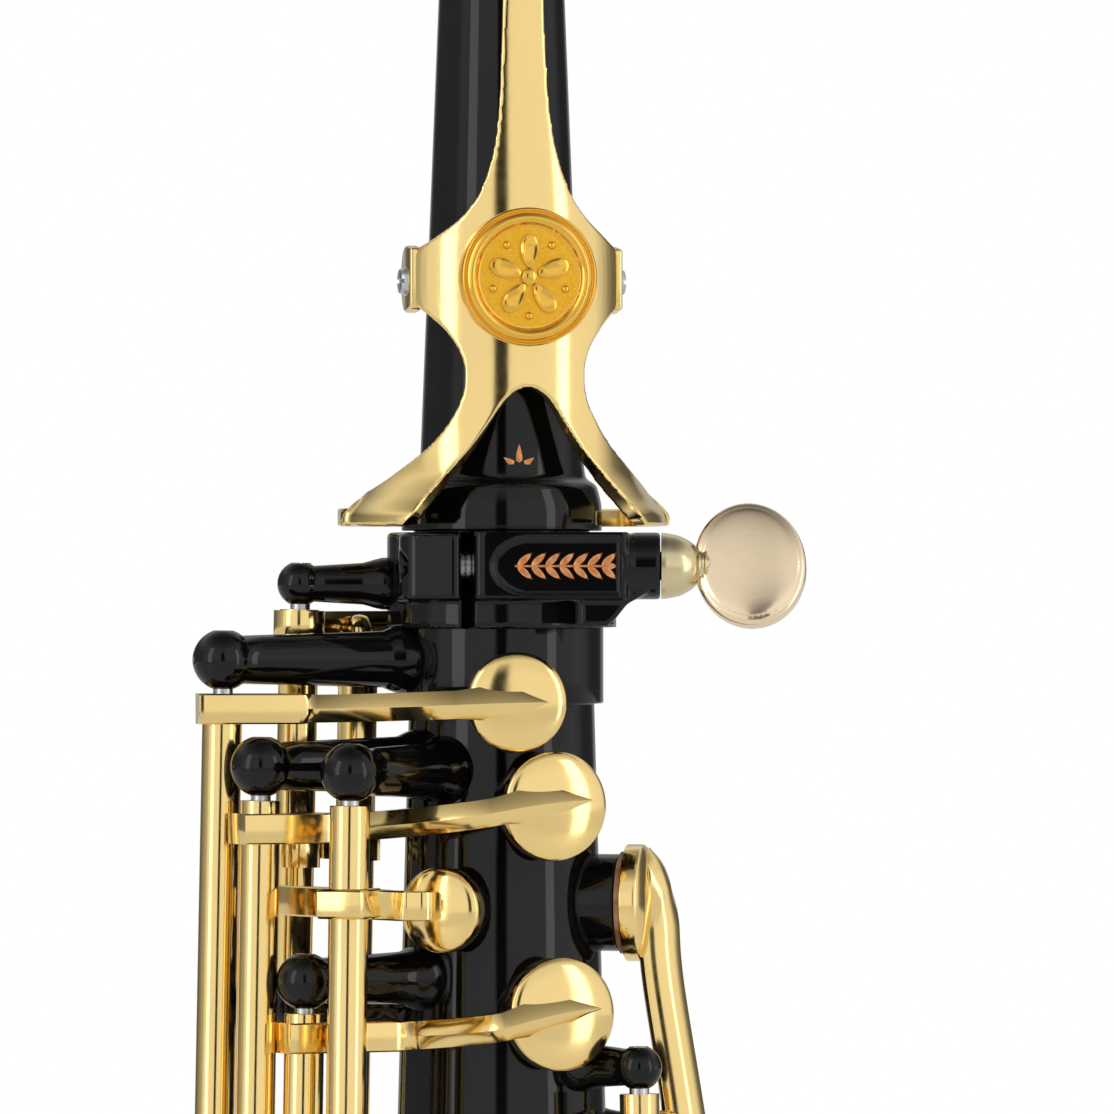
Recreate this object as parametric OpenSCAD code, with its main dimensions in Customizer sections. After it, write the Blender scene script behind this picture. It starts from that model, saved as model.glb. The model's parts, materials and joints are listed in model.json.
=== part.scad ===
// Straight soprano saxophone with a detachable neck, high F sharp and high G keys.
// It stands on its bell: +Z runs up the bore, the name plate of the neck clamp faces -Y, and the
// origin is the centre of the bell's rim. Angles called phi are measured round the bore from -Y
// towards +X, and r is the distance from the bore's axis.

/* [Body] */
// Outer diameter of the bell's rim
bell_d = 92; // [90:1:94]
// Outer diameter of the body tube just below the neck socket
body_top_d = 18.8; // [18.6:0.1:19]
// How much the body tube's diameter grows for each millimetre down
body_taper = 0.055; // [0.054:0.001:0.056]
// Thickness of the brass tube walls
wall = 0.8; // [0.7:0.1:0.9]
// Height of the tone hole rims above the body tube
chimney_h = 1.5; // [1.4:0.1:1.6]

/* [Neck] */
// Length of the neck from the clamp's top to the end of its cork
neck_len = 108.2; // [106:0.1:110]
// Diameter of the mouthpiece cork
cork_d = 15.6; // [15.4:0.1:15.7]
// Outer diameter of the octave key's ring
ring_d = 33.2; // [33:0.1:33.6]

/* [Keys] */
// Outer diameter of the hinge tubes
tube_d = 4; // [3.8:0.1:4.1]
// Diameter of the steel hinge rods
rod_d = 2; // [1.8:0.1:2.1]
// Diameter of the large post balls
ball_d = 6.2; // [6:0.1:6.4]
// Diameter of the finger pearls
pearl_d = 10.4; // [9.6:0.1:10.6]
// Gap between a closed pad and its tone hole
pad_gap = 0.1; // [0.08:0.01:0.14]

/* [Hidden] */
$fn = 48;
running_gap = 0.05;         // radial clearance of a hinge tube on its rod
end_gap = 0.3;              // gap between a hinge tube and a post or the next tube
post_reach = 0.5;           // how far a post's stem is let into the body's wall
cup_h = 3.4;                // a key cup's height over its tone hole
solder_gap = 0.02;          // between a post's foot and the body it is soldered to
rod_fit = 0.04;             // how much wider a post's bore is than its rod
line_slope = 0.02;          // how far hinge lines lean away from the bore for each mm down
line_z = 515;               // height at which a hinge line's radius is given

clamp_z = 527.2;            // lower and upper edges of the neck clamp
clamp_top = 536.8;
taper_z = 518.8;            // height at which the body has its top diameter
flare_z = 80;               // the bell's flare begins here
bell_top = 52;              // the bell joins the lower tube here
tube_joint = 262;           // the lower tube joins the body tube here
neck_top = clamp_top + neck_len;
collar_z = 519.5;           // lower edge of the body's thick top collar
collar_r = 10.3;
socket_r = 8.95;            // the bore that takes the neck's tenon
tenon_z = 526;

// Tone holes, as [phi, z, diameter of the cup that closes them, height of the rim]
high_g_hole = [6.7, 519.8, 10, 2.2];
high_fsharp_hole = [23, 509.4, 11, 2];
vent_hole = [-25.6, 499, 8.6, 2];
palm_f_hole = [80, 499.4, 11.8, 2.3];
high_e_hole = [25, 488.6, 11.4, 2];
palm_eb_hole = [114, 468, 11.8, 2];
palm_d_hole = [151, 457.8, 12, 2];
c_hole = [-4, 452, 11.5, chimney_h];
b_hole = [-2, 436, 13.5, chimney_h];
a_hole = [0, 415, 15.5, chimney_h];
g_hole = [0, 391, 18, chimney_h];
side_c_hole = [-128, 432, 13.5, chimney_h];
side_bb_hole = [-140, 408, 14.5, chimney_h];
gsharp_hole = [26, 366.5, 15, chimney_h];
fsharp_hole = [0, 339, 19, chimney_h];
f_hole = [0, 312, 21.5, chimney_h];
e_hole = [0, 280, 23, chimney_h];
d_hole = [0, 244, 25, chimney_h];
eb_hole = [-104, 214, 20, chimney_h];
low_c_hole = [-8, 188, 28, chimney_h];
low_csharp_hole = [58, 158, 26, chimney_h];
low_b_hole = [70, 121, 29, chimney_h];
low_bb_hole = [84, 84, 30, chimney_h];
HOLES = [high_g_hole, high_fsharp_hole, vent_hole, palm_f_hole, high_e_hole, palm_eb_hole, palm_d_hole,
    c_hole, b_hole, a_hole, g_hole, side_c_hole, side_bb_hole, gsharp_hole, fsharp_hole, f_hole, e_hole,
    d_hole, eb_hole, low_c_hole, low_csharp_hole, low_b_hole, low_bb_hole];

// Hinge lines, as [phi, r at the height line_z]
high_g_line = [-70, 29.8];
high_fsharp_line = [-60, 27.6];
vent_line = [-38, 24.2];
high_e_line = [-52.6, 24.1];
octave_pin_line = [-84, 20.8];
thumb_line = [-108.7, 15.6];
side_c_line = [-93, 18.4];
side_bb_line = [-108, 18.8];
left_stack_line = [50, 17.4];
right_stack_line = [50, 19];
gsharp_line = [92, 18.6];
low_c_line = [-64, 20];
low_csharp_line = [108, 19];
low_b_line = [122, 19];
low_bb_line = [136, 19];

BLACK = [0.03, 0.03, 0.035];
GOLD = [0.86, 0.68, 0.3];
PALE_GOLD = [0.85, 0.74, 0.52];
STEEL = [0.6, 0.6, 0.6];
EBONITE = [0.05, 0.05, 0.05];
CORK = [0.72, 0.55, 0.38];
FELT = [0.55, 0.1, 0.12];
LEATHER = [0.6, 0.33, 0.16];

// ---- Places ----

function body_r(z) = body_top_d / 2 + (taper_z - z) * body_taper / 2
    + (z < flare_z ? (bell_d / 2 - 0.2 - body_top_d / 2 - taper_z * body_taper / 2)
        * pow(1 - z / flare_z, 3) : 0);
function neck_r(z) = z < 600 ? 8.3 - (z - 542.8) * 0.04 : 6.01 - (z - 600) * 0.02;
function at(phi, r, z) = [r * sin(phi), -r * cos(phi), z];
function on_line(line, z) = at(line[0], line[1] + line_slope * (line_z - z), z);
function unit(v) = v / norm(v);
function mix(a, b, t) = a + (b - a) * t;
function ease(t) = t * t * (3 - 2 * t);
function seat_r(hole) = body_r(hole[1]) + hole[3];
function cup_top_r(hole) = seat_r(hole) + cup_h;

// Turns +Z to face straight out from the bore at phi, with +Y up
module facing(phi, r, z) {
    translate(at(phi, r, z)) rotate([90, 0, phi]) children();
}

// A round bar from p to q
module bar(p, q, d) {
    v = q - p;
    translate(p) rotate([0, acos(v[2] / norm(v)), atan2(v[1], v[0])]) cylinder(h = norm(v), d = d);
}

// Turns a key about its hinge line by an angle, seen from above
module swung(line, angle) {
    p = on_line(line, line_z);
    q = on_line(line, line_z + 1);
    translate(p) rotate(a = angle, v = q - p) translate(-p) children();
}

// ---- Arms: a ridged section swept along a path ----

SECTION = [[-0.5, -0.5], [0.5, -0.5], [0.5, 0.12], [0.3, 0.4], [0, 0.5], [-0.3, 0.4], [-0.5, 0.12]];

function tangent(path, i) = unit(path[min(i + 1, len(path) - 1)] - path[max(i - 1, 0)]);

// The ridge of the section points towards out, and w and h are its width and height at each point
module sweep(path, w, h, out) {
    n = len(SECTION);
    last = len(path) - 1;
    points = [for (i = [0:last])
        let (t = tangent(path, i), o = unit(out - (out * t) * t), s = cross(o, t))
        for (c = SECTION) path[i] + s * c[0] * w[i] + o * c[1] * h[i]];
    faces = [[for (k = [0:n - 1]) k], [for (k = [n - 1:-1:0]) last * n + k],
        for (i = [0:last - 1]) for (k = [0:n - 1])
            [i * n + k, (i + 1) * n + k, (i + 1) * n + (k + 1) % n],
        for (i = [0:last - 1]) for (k = [0:n - 1])
            [i * n + k, (i + 1) * n + (k + 1) % n, i * n + (k + 1) % n]];
    polyhedron(points = points, faces = faces);
}

// An arm from a hinge line at height z, up to the cup's edge and over it to a spear tip
module cup_arm(line, z, hole, w = 2.6, rise = 0.3, past = 0.28, bow = 0.5) {
    steps = 12;
    from = on_line(line, z);
    out = at(hole[0], 1, 0);
    side = [out[1], -out[0], 0];
    start = [from * side, from * out];
    end = [-sign(start[0]) * hole[2] * past, cup_top_r(hole) + 0.15];
    edge = (abs(start[0]) - hole[2] / 2) / abs(start[0] - end[0]);
    share = [for (i = [0:steps]) i / steps];
    path = [for (t = share) let (s = min(1, t / edge))
        side * mix(start[0], end[0], t) + [0, 0, mix(z, hole[1], ease(t))]
        + out * (mix(start[1], end[1], mix(s, sin(90 * s), bow)) + rise * sin(180 * t))];
    slim = [for (t = share) t < 0.62 ? 1 - 0.15 * t : mix(0.9, 0.08, pow((t - 0.62) / 0.38, 1.6))];
    sweep(path, w * slim, 2 * slim, out);
}

// A thick sleeve on a hinge line, where an arm is brazed on
module sleeve(line, z, h = 3) {
    bar(on_line(line, z - h / 2), on_line(line, z + h / 2), tube_d + 1.2);
}

// ---- Cups, pads and touches ----

module pad(hole) {
    facing(hole[0], seat_r(hole) + pad_gap, hole[1]) cylinder(h = 1.7, d = hole[2] - 1.5);
}

module cup(hole) {
    r = hole[2] / 2;
    facing(hole[0], seat_r(hole), hole[1]) rotate_extrude()
        polygon([[0, 1.86], [r - 0.7, 1.86], [r - 0.7, 0.7], [r, 0.7], [r, 2.1], [r - 0.25, 2.6],
            [r - 0.9, 2.95], [r * 0.5, cup_h - 0.12], [0, cup_h]]);
}

// A hinge tube between two heights, with what is brazed to it, bored for its rod
module key(line, top, bottom) {
    difference() {
        union() {
            bar(on_line(line, bottom), on_line(line, top), tube_d);
            children();
        }
        bar(on_line(line, bottom - 1), on_line(line, top + 1), rod_d + 2 * running_gap);
    }
}

// A hinge tube that fills the space between its spindle's posts
function tube_top(spindle) = spindle[1] - spindle[3] / 2 - end_gap;
module spindle_key(spindle) {
    key(spindle[0], tube_top(spindle), spindle[2] + spindle[3] / 2 + end_gap) children();
}

// A round finger dish on a short arm, for a pearl
module pearl_dish(line, z, phi, r) {
    foot = on_line(line, z);
    centre = at(phi, r, z);
    out = unit([centre[0], centre[1], 0]);
    path = [for (i = [0:5]) mix(foot, centre - out * 0.6, i / 5) + out * 1.2 * sin(36 * i)];
    sweep(path, [for (i = [0:5]) 3], [for (i = [0:5]) 1.6], out);
    facing(phi, r - 1, z) cylinder(h = 1.2, d1 = pearl_d - 2.4, d2 = pearl_d + 1);
}

module pearl(z, phi, r) {
    facing(phi, r + 0.25, z) rotate_extrude()
        polygon([[0, 0], [pearl_d / 2 - 0.2, 0], [pearl_d / 2, 0.3], [pearl_d / 2 - 0.5, 0.9], [0, 0.6]]);
}

// A leaf-shaped touch of a side key, which stands out from its hinge line towards phi
module side_touch(line, z, phi, r, length = 24, width = 8) {
    foot = on_line(line, z);
    centre = at(phi, r, z);
    out = unit([centre[0], centre[1], 0]);
    sweep([foot, mix(foot, centre, 0.5), centre], [4, 4, 3.4], [1.8, 1.8, 1.4], out);
    steps = 10;
    leaf = [for (i = [0:steps]) let (t = i / steps - 0.5)
        centre + [0, 0, length * t] - out * 6 * t * t];
    sweep(leaf, [for (i = [0:steps]) 1 + (width - 1) * pow(sin(15 + 150 * i / steps), 0.7)],
        [for (i = [0:steps]) 1.9], out);
}

// ---- Body, bell and what is soldered or screwed to them ----

// Each spindle is [hinge line, top post height, bottom post height, ball diameter, side of the needle
// spring or 0]
high_g_spindle = [high_g_line, 524, 296, ball_d, 1];
high_fsharp_spindle = [high_fsharp_line, 513.4, 262, ball_d, 1];
vent_spindle = [vent_line, 512.9, 440, 6, 1];
high_e_spindle = [high_e_line, 492, 350, 5.8, 1];
octave_pin_spindle = [octave_pin_line, 531.6, 489, 4.6, 0];
thumb_spindle = [thumb_line, 523.8, 449, 4.6, 0];
side_c_spindle = [side_c_line, 444, 340, 5, -1];
side_bb_spindle = [side_bb_line, 420, 316, 5, -1];
left_stack_spindle = [left_stack_line, 483.2, 376, 4.6, 1];
right_stack_spindle = [right_stack_line, 353, 227, 5.4, 1];
gsharp_spindle = [gsharp_line, 376, 314, 5, -1];
low_c_spindle = [low_c_line, 229, 170, 5.4, 0];
low_csharp_spindle = [low_csharp_line, 320, 144, 5.4, 1];
low_b_spindle = [low_b_line, 302, 106, 5.4, 1];
low_bb_spindle = [low_bb_line, 284, 69, 5.4, 1];
SPINDLES = [high_g_spindle, high_fsharp_spindle, vent_spindle, high_e_spindle, octave_pin_spindle,
    thumb_spindle, side_c_spindle, side_bb_spindle, left_stack_spindle, right_stack_spindle,
    gsharp_spindle, low_c_spindle, low_csharp_spindle, low_b_spindle, low_bb_spindle];
MID_POSTS = [[left_stack_line, 425.8, 5], [right_stack_line, 297, 5.4]];

module chimney(hole, gap = 0) {
    r = body_r(hole[1]);
    facing(hole[0], r * 0.6, hole[1]) cylinder(h = r * 0.4 + hole[3] + gap, d = hole[2] - 2 + 2 * gap);
}

module tone_bore(hole) {
    bore_d = hole == vent_hole ? 2 : hole[2] - 3.4;
    facing(hole[0], body_r(hole[1]) * 0.3, hole[1]) cylinder(h = 40, d = bore_d);
}

flare = [for (z = [bell_top:3.5:flare_z]) z];
barrel_r = 11.6;

// The outside of the body, up to its collar and, as an option, with the clamp's barrel
module body_core(with_clamp = false, gap = 0) {
    rotate_extrude($fn = 96) polygon([[0, bell_top], for (z = flare) [body_r(z) + gap, z],
        [body_r(collar_z) + gap, collar_z], [collar_r + gap, collar_z], [collar_r + gap, clamp_z - gap],
        if (with_clamp) each [[barrel_r + gap, clamp_z - gap], [barrel_r + gap, clamp_top], [0, clamp_top]]
        else [0, clamp_z]]);
}

module tube_walls(low, high) {
    difference() {
        union() {
            body_core();
            for (hole = HOLES) if (hole[1] > low && hole[1] < high) chimney(hole);
        }
        rotate_extrude($fn = 96) polygon([[0, bell_top - 1], [body_r(bell_top) - wall, bell_top - 1],
            for (z = flare) [body_r(z) - wall, z], [body_r(tenon_z) - wall, tenon_z], [0, tenon_z]]);
        translate([0, 0, tenon_z - 1]) cylinder(h = 4, r = socket_r);
        for (hole = HOLES) if (hole[1] > low && hole[1] < high) tone_bore(hole);
    }
}

module body_tube() color(BLACK) {
    difference() {
        tube_walls(tube_joint, clamp_z);
        translate([0, 0, bell_top - 1]) cylinder(h = tube_joint - bell_top + 1, d = bell_d);
    }
}

module lower_tube() color(BLACK) {
    difference() {
        tube_walls(bell_top, tube_joint);
        translate([0, 0, tube_joint]) cylinder(h = clamp_z - tube_joint + 1, d = bell_d);
    }
}

module bell() color(BLACK) {
    rise = [for (i = [1:13]) bell_top * i / 13];
    bead = 1.3;
    rotate_extrude($fn = 96) polygon([[43.6, 0], for (z = rise) [body_r(z) - wall, z],
        for (i = [12:-1:0]) [body_r(rise[i]), rise[i]],
        for (a = [75:-15:-60]) [bell_d / 2 - bead + bead * cos(a), bead * (sin(a) + sin(60))]]);
}

module bell_ring() color(BLACK) {
    rotate_extrude($fn = 96) polygon([[body_r(48) + 0.02, 48], [body_r(bell_top) + 1.2, 48.8],
        [body_r(bell_top) + 1.5, 50.5], [body_r(bell_top) + 1.5, 53.5], [body_r(bell_top) + 1.2, 55],
        [body_r(55.5) + 0.02, 55.5], [body_r(bell_top) + 0.02, bell_top]]);
}

// The clamp round the neck's tenon: a slotted barrel, with a short lug and a long lug that carries the
// name plate, both crossed by the clamp screw
clamp_screw_y = -13;
clamp_screw_z = 533.4;
clamp_slot_x = -3.4;
plate_y = -16.2;
boss_end = 15.9;

module clamp_barrel() {
    translate([0, 0, clamp_z]) cylinder(h = clamp_top - clamp_z, r = barrel_r);
}

module along_x(x, r, length) {
    translate([x, clamp_screw_y, clamp_screw_z]) rotate([0, 90, 0]) cylinder(h = length, r = r);
}

module neck_clamp() color(BLACK) difference() {
    union() {
        clamp_barrel();
        translate([-2.6, plate_y, 530.1]) cube([15.2, 9, clamp_top - 530.1]);
        translate([-9, plate_y + 1.4, 530.1]) cube([6, 9, clamp_top - 530.1 - 0.2]);
        along_x(12, 3.35, boss_end - 12);
        translate([0, -2, 0]) rotate([90, 0, 0]) linear_extrude(11)
            polygon([[8, clamp_z + 0.2], [10.4, clamp_z + 0.2], [12.6, 530.2], [8, 530.2]]);
    }
    translate([0, 0, clamp_z - 1]) cylinder(h = 20, r = socket_r);
    translate([clamp_slot_x - 0.5, -20, clamp_z - 1]) cube([1, 16, 20]);
    translate([2.2, plate_y - 1, 531.2]) cube([10, 1.5, 4.6]);
    along_x(-20, 1.55, 60);
}

// A turned post along +Z: a foot, a tapered stem and a ball centred at height reach
module post_shape(reach, d, foot, stem) {
    translate([0, 0, reach]) sphere(d = d);
    rotate_extrude() polygon([[0, 0], [foot / 2, 0], [foot / 2, 1], [stem * 0.58, 1.8], [stem / 2, 3],
        [stem * 0.42, reach - 0.6], [0, reach - 0.6]]);
}

function surface_r(z) = z > clamp_z ? barrel_r : z > collar_z ? collar_r : body_r(z);

module post(line, z, d) {
    foot_r = surface_r(z) - post_reach;
    reach = line[1] + line_slope * (line_z - z) - foot_r;
    facing(line[0], foot_r, z) post_shape(reach, d, d * 1.15, d * 0.92);
}

// Bores the posts for their rods and fits their feet to the body
module fitted() {
    difference() {
        children();
        for (s = SPINDLES) bar(on_line(s[0], s[2] - 5), on_line(s[0], s[1] + 5), rod_d + rod_fit);
        body_core(with_clamp = true, gap = solder_gap);
        for (hole = [high_e_hole, b_hole]) chimney(hole, solder_gap);
    }
}

module posts(low, high) {
    for (s = SPINDLES) for (z = [s[1], s[2]]) if (z > low && z <= high) post(s[0], z, s[3]);
    for (m = MID_POSTS) if (m[1] > low && m[1] <= high) post(m[0], m[1], m[2]);
}

module upper_posts() color(BLACK) fitted() posts(400, 600);
module lower_posts() color(BLACK) fitted() posts(0, 400);

// Steel rods through the posts and hinge tubes, with a screwdriver slot in the upper end
module hinge_rods() color(STEEL) for (s = SPINDLES) {
    top = on_line(s[0], s[1] + s[3] / 2 + 0.25);
    difference() {
        bar(on_line(s[0], s[2] - s[3] / 2 - 0.1), top, rod_d);
        translate(top) cube([rod_d + 1, 0.4, 0.7], center = true);
    }
}

// Thin steel wires, each fixed in a post and lying along the hinge tube that it turns
module needle_springs() color(STEEL) for (s = SPINDLES) if (s[4] != 0) {
    swing = [cos(s[0][0]), sin(s[0][0]), 0] * s[4];
    bar(on_line(s[0], s[2]) + swing * (s[3] / 2 + 0.4), on_line(s[0], s[2] + 16) + swing * 3.2, 0.7);
}

GUARDED = [low_c_hole, low_csharp_hole, low_b_hole, low_bb_hole];
guard_h = 13.4;

module guard(hole) {
    half = hole[2] / 2 + 4.5;
    mid_r = body_r(hole[1]) + guard_h;
    out = at(hole[0], 1, 0);
    path = [for (i = [0:12]) let (a = 180 * i / 12, z = hole[1] - half * cos(a))
        at(hole[0], i == 0 || i == 12 ? body_r(z) - 0.2 : mid_r - guard_h * 0.9 * pow(1 - sin(a), 2), z)];
    sweep(path, [for (p = path) 3.4], [for (p = path) 1.5], out);
    for (z = [hole[1] - half, hole[1] + half])
        facing(hole[0], body_r(z) - 0.4, z) cylinder(h = 1.4, d = 7);
}

module key_guards() color(GOLD) difference() {
    for (hole = GUARDED) guard(hole);
    body_core();
}

module guard_felts() color(FELT) for (hole = GUARDED)
    facing(hole[0], body_r(hole[1]) + guard_h - 3, hole[1]) cylinder(h = 2.2, d = 5.5);

thumb_rest_z = 445;
module thumb_rest() color(EBONITE) difference() {
    facing(180, body_r(thumb_rest_z) - 0.4, thumb_rest_z) rotate_extrude()
        polygon([[0, 0], [4, 0], [4, 1.4], [5.5, 2.2], [5.5, 3.2], [4.7, 3.9], [0, 4.1]]);
    body_core();
}

hook_z = 262;
module thumb_hook() color(GOLD) difference() {
    union() {
        facing(180, body_r(hook_z) - 0.5, hook_z + 1) {
            for (end = [-8, 8]) translate([0, end, 0]) cylinder(h = 2, d = 8);
            translate([-4, -8, 0]) cube([8, 16, 2]);
        }
        translate(at(180, body_r(hook_z) + 9.6, hook_z + 1)) rotate([90, 0, 90]) translate([0, 0, -4.5])
            rotate_extrude(angle = 180) translate([7.4, 0]) square([2.2, 9]);
    }
    body_core();
}

strap_z = 345;
strap_hole_r = 4;
module strap_ring() color(GOLD) difference() {
    union() {
        facing(180, body_r(strap_z) - 0.4, strap_z) cylinder(h = 1.8, d = 11);
        facing(180, body_r(strap_z) - 0.4, strap_z) cylinder(h = 3, d = 4.4);
        translate(at(180, body_r(strap_z) + 6.6, strap_z)) rotate([0, 90, 0])
            cylinder(h = 2.6, r = strap_hole_r + 1.9, center = true);
    }
    translate(at(180, body_r(strap_z) + 6.6, strap_z)) rotate([0, 90, 0])
        cylinder(h = 12, r = strap_hole_r, center = true);
    body_core();
}

// ---- Neck ----

neck_phi = 12.6;            // the neck's octave key faces this way
pivot_z = 562;              // the octave key rocks on two screws at this height
pivot_r = 4.8;              // and this far in front of the bore's axis
pip_z = 606;
cork_z = 617;

module neck_frame() rotate([0, 0, neck_phi]) children();

module clamp_screw() color(PALE_GOLD) {
    head_x = 24.9;
    along_x(-8.6, 1.5, boss_end + 9);
    translate([boss_end + 0.12, clamp_screw_y, clamp_screw_z]) rotate([0, 90, 0]) rotate_extrude()
        polygon([[0, 0], [3.25, 0], [3.1, 0.9], [2.5, 2.1], [1.5, 2.9], [1.3, 3.4],
            [1.4, 4.2], [1.9, 5], [0, 5]]);
    translate([head_x, clamp_screw_y, clamp_screw_z]) rotate([72, 0, 0]) linear_extrude(2, center = true)
        polygon([for (a = [0:10:350]) [5.7 * cos(a), 6.5 * sin(a)]]);
}

module neck_tube() color(BLACK) neck_frame() {
    side = 8.5;
    difference() {
        union() {
            rotate_extrude($fn = 96) polygon([[0, tenon_z + 0.1], [socket_r - running_gap, tenon_z + 0.1],
                [socket_r - running_gap, clamp_top + 0.15], [10.15, clamp_top + 0.15], [10.15, 539.4],
                [9.95, 540.6], [9.4, 541.6], [neck_r(542.2) + 0.2, 542.2], [neck_r(543), 543],
                [neck_r(600), 600], [neck_r(neck_top), neck_top], [0, neck_top]]);
            facing(0, 3, pip_z) cylinder(h = neck_r(pip_z) - 1, d = 5);
            translate([0, -pivot_r, pivot_z]) rotate([0, 90, 0])
                cylinder(h = 2 * side, d = 4.2, center = true);
        }
        rotate_extrude($fn = 96)
            polygon([[0, tenon_z - 1], [7.35, tenon_z - 1], [4.4, neck_top + 1], [0, neck_top + 1]]);
        facing(0, 2, pip_z) cylinder(h = 12, d = 1.6);
        for (turn = [-90, 90]) translate([0, -pivot_r, pivot_z]) rotate([0, turn, 0])
            translate([0, 0, side - 1.4]) cylinder(h = 3, d = 2.1);
    }
}

module neck_cork() color(CORK) neck_frame() difference() {
    translate([0, 0, cork_z]) cylinder(h = neck_top - cork_z - 1, d = cork_d);
    translate([0, 0, cork_z - 1]) cylinder(h = 40, r1 = neck_r(cork_z - 1) + 0.02,
        r2 = neck_r(cork_z + 39) + 0.02);
}

module neck_pivot_screws() color(STEEL) neck_frame()
    for (turn = [-90, 90]) translate([0, -pivot_r, pivot_z]) rotate([0, turn, 0]) difference() {
        union() {
            translate([0, 0, 7.3]) cylinder(h = 3.4, d = 2);
            translate([0, 0, 10.95]) cylinder(h = 0.6, d1 = 3, d2 = 2.4);
            translate([0, 0, 10.6]) cylinder(h = 0.5, d = 2);
        }
        translate([0, 0, 11.6]) cube([0.4, 4, 0.6], center = true);
    }

// Catmull-Rom curve through a list of points
function curve(p, steps = 4) = [for (i = [0:len(p) - 2]) for (k = [0:steps - 1])
    let (t = k / steps, a = p[max(i - 1, 0)], b = p[i], c = p[i + 1], d = p[min(i + 2, len(p) - 1)])
    0.5 * (2 * b + (c - a) * t + (2 * a - 5 * b + 4 * c - d) * t * t + (3 * b - a - 3 * c + d) * t * t * t),
    p[len(p) - 1]];
function mirrored(p) = [for (i = [len(p) - 1:-1:0]) [-p[i][0], p[i][1]]];

// The octave key's outline, as half widths and heights: arm, saddle with its ears, waist and fork
key_arm = curve([[1.8, 604], [2.2, 588], [2.7, 577], [4.3, 571.2], [9.4, 565.9]]);
key_ear = [[10.6, 565.4], [10.6, 559]];
key_leg = curve([[9.4, 558.5], [6.4, 554.4], [6.9, 549.2], [12.5, 542.6], [16.8, 538.9]]);
key_arch = curve([[12.6, 537.4], [10.9, 539.6], [6, 544.9], [2.6, 549.9], [0, 551.2]]);
ring_z = 537.4;

// Outer radius of the octave key's curved sheet at each height
key_shell = [[ring_d / 2, ring_z], [ring_d / 2, 538.6], [15.2, 540.2], [13.6, 543], [12.7, 547], [12.6, 566],
    [12, 572], [10.9, 581], [10.5, 590], [10.9, 606]];

module key_sheet(thick) {
    inner = [for (i = [len(key_shell) - 1:-1:0]) [key_shell[i][0] - thick, key_shell[i][1]]];
    rotate_extrude($fn = 96) polygon(concat(key_shell, inner));
}

module neck_octave_key() color(GOLD) neck_frame() {
    half = concat(key_arm, key_ear, key_leg, [[16.8, ring_z]], key_arch);
    difference() {
        union() {
            intersection() {
                key_sheet(1.5);
                rotate([90, 0, 0]) linear_extrude(20) polygon(concat(half, mirrored(half)));
            }
            difference() {
                translate([0, 0, ring_z]) cylinder(h = 1.8, d = ring_d);
                translate([0, 0, ring_z - 1]) cylinder(h = 4, d = ring_d - 4);
                translate([-20, -40.2, ring_z - 1]) cube([40, 40, 4]);
            }
            for (side = [-1, 1]) translate([side * 10.25 - 0.65, -8.4, 559]) cube([1.3, 5.8, 6.4]);
            facing(0, neck_r(pip_z) + 2 + pad_gap, pip_z) cylinder(h = 2.9, d = 8.2);
        }
        facing(0, neck_r(pip_z) + 1, pip_z) cylinder(h = 2.5 + pad_gap, d = 6.8);
        facing(0, 9, 562.3) cylinder(h = 8, r = 6.95);
        translate([0, -pivot_r, pivot_z]) rotate([0, 90, 0]) cylinder(h = 40, d = 2.1, center = true);
    }
}

module neck_octave_pad() color(LEATHER) neck_frame()
    facing(0, neck_r(pip_z) + 2 + pad_gap, pip_z) cylinder(h = 1.35, d = 6.7);

module key_medallion() color(GOLD) neck_frame() facing(0, 10.9, 562.3) rotate_extrude()
    polygon([[0, 0], [6.9, 0], [6.9, 2], [6.5, 2.5], [5.9, 2.4], [5.5, 1.7], [0, 1.7]]);

// ---- Mouthpiece ----

mouthpiece_z = 627;
mouthpiece_len = 66;
tip_z = mouthpiece_z + mouthpiece_len;
ligature_z = 641;
ligature_r = 12.3;
lug_z = [ligature_z + 4, ligature_z + 12];

// How far behind the bore's axis the reed's flat lies
function table_y(z) = 8.9 - (z - 640) * 0.05;

// A profile given as [distance behind the axis, height], as wide as width
module side_profile(points, width) {
    rotate([90, 0, 90]) translate([0, 0, -width / 2]) linear_extrude(width) polygon(points);
}

module mouthpiece() color(EBONITE) neck_frame() {
    table_z = mouthpiece_z + 9;
    window = [[table_y(659) + 1, 659], [table_y(tip_z) + 1, tip_z - 1.4], [5.6, tip_z - 1.4],
        [-3.4, 668], [-3.4, 659]];
    difference() {
        translate([0, 0, mouthpiece_z]) rotate_extrude($fn = 96) polygon([[0, 0], [11, 0], [11.4, 0.6],
            [11.4, 3.6], [11.1, 4.2], [11.3, 12], [11.1, 33], [10, 48], [8.6, mouthpiece_len],
            [0, mouthpiece_len]]);
        side_profile([[table_y(table_z), table_z], [20, table_z], [20, tip_z + 1],
            [table_y(tip_z + 1), tip_z + 1]], 30);
        side_profile([[-10.2, 661], [5.4, tip_z + 0.1], [5.4, tip_z + 9], [-30, tip_z], [-30, 661]], 30);
        translate([0, 0, mouthpiece_z - 1]) cylinder(h = neck_top - mouthpiece_z + 4.6, d = cork_d + 0.1);
        translate([0, 0, neck_top]) cylinder(h = 18, r = 5.6);
        side_profile(window, 7.6);
    }
}

module reed() color([0.86, 0.76, 0.52]) neck_frame() intersection() {
    translate([0, 0, 620]) cylinder(h = 90, r = ligature_r - 0.85);
    side_profile([[table_y(638) + 0.03, 638], [table_y(638) + 2.9, 638], [table_y(664) + 2.6, 664],
        [table_y(tip_z) + 0.35, tip_z - 0.5], [table_y(tip_z - 0.5) + 0.03, tip_z - 0.5]], 12.4);
}

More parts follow.
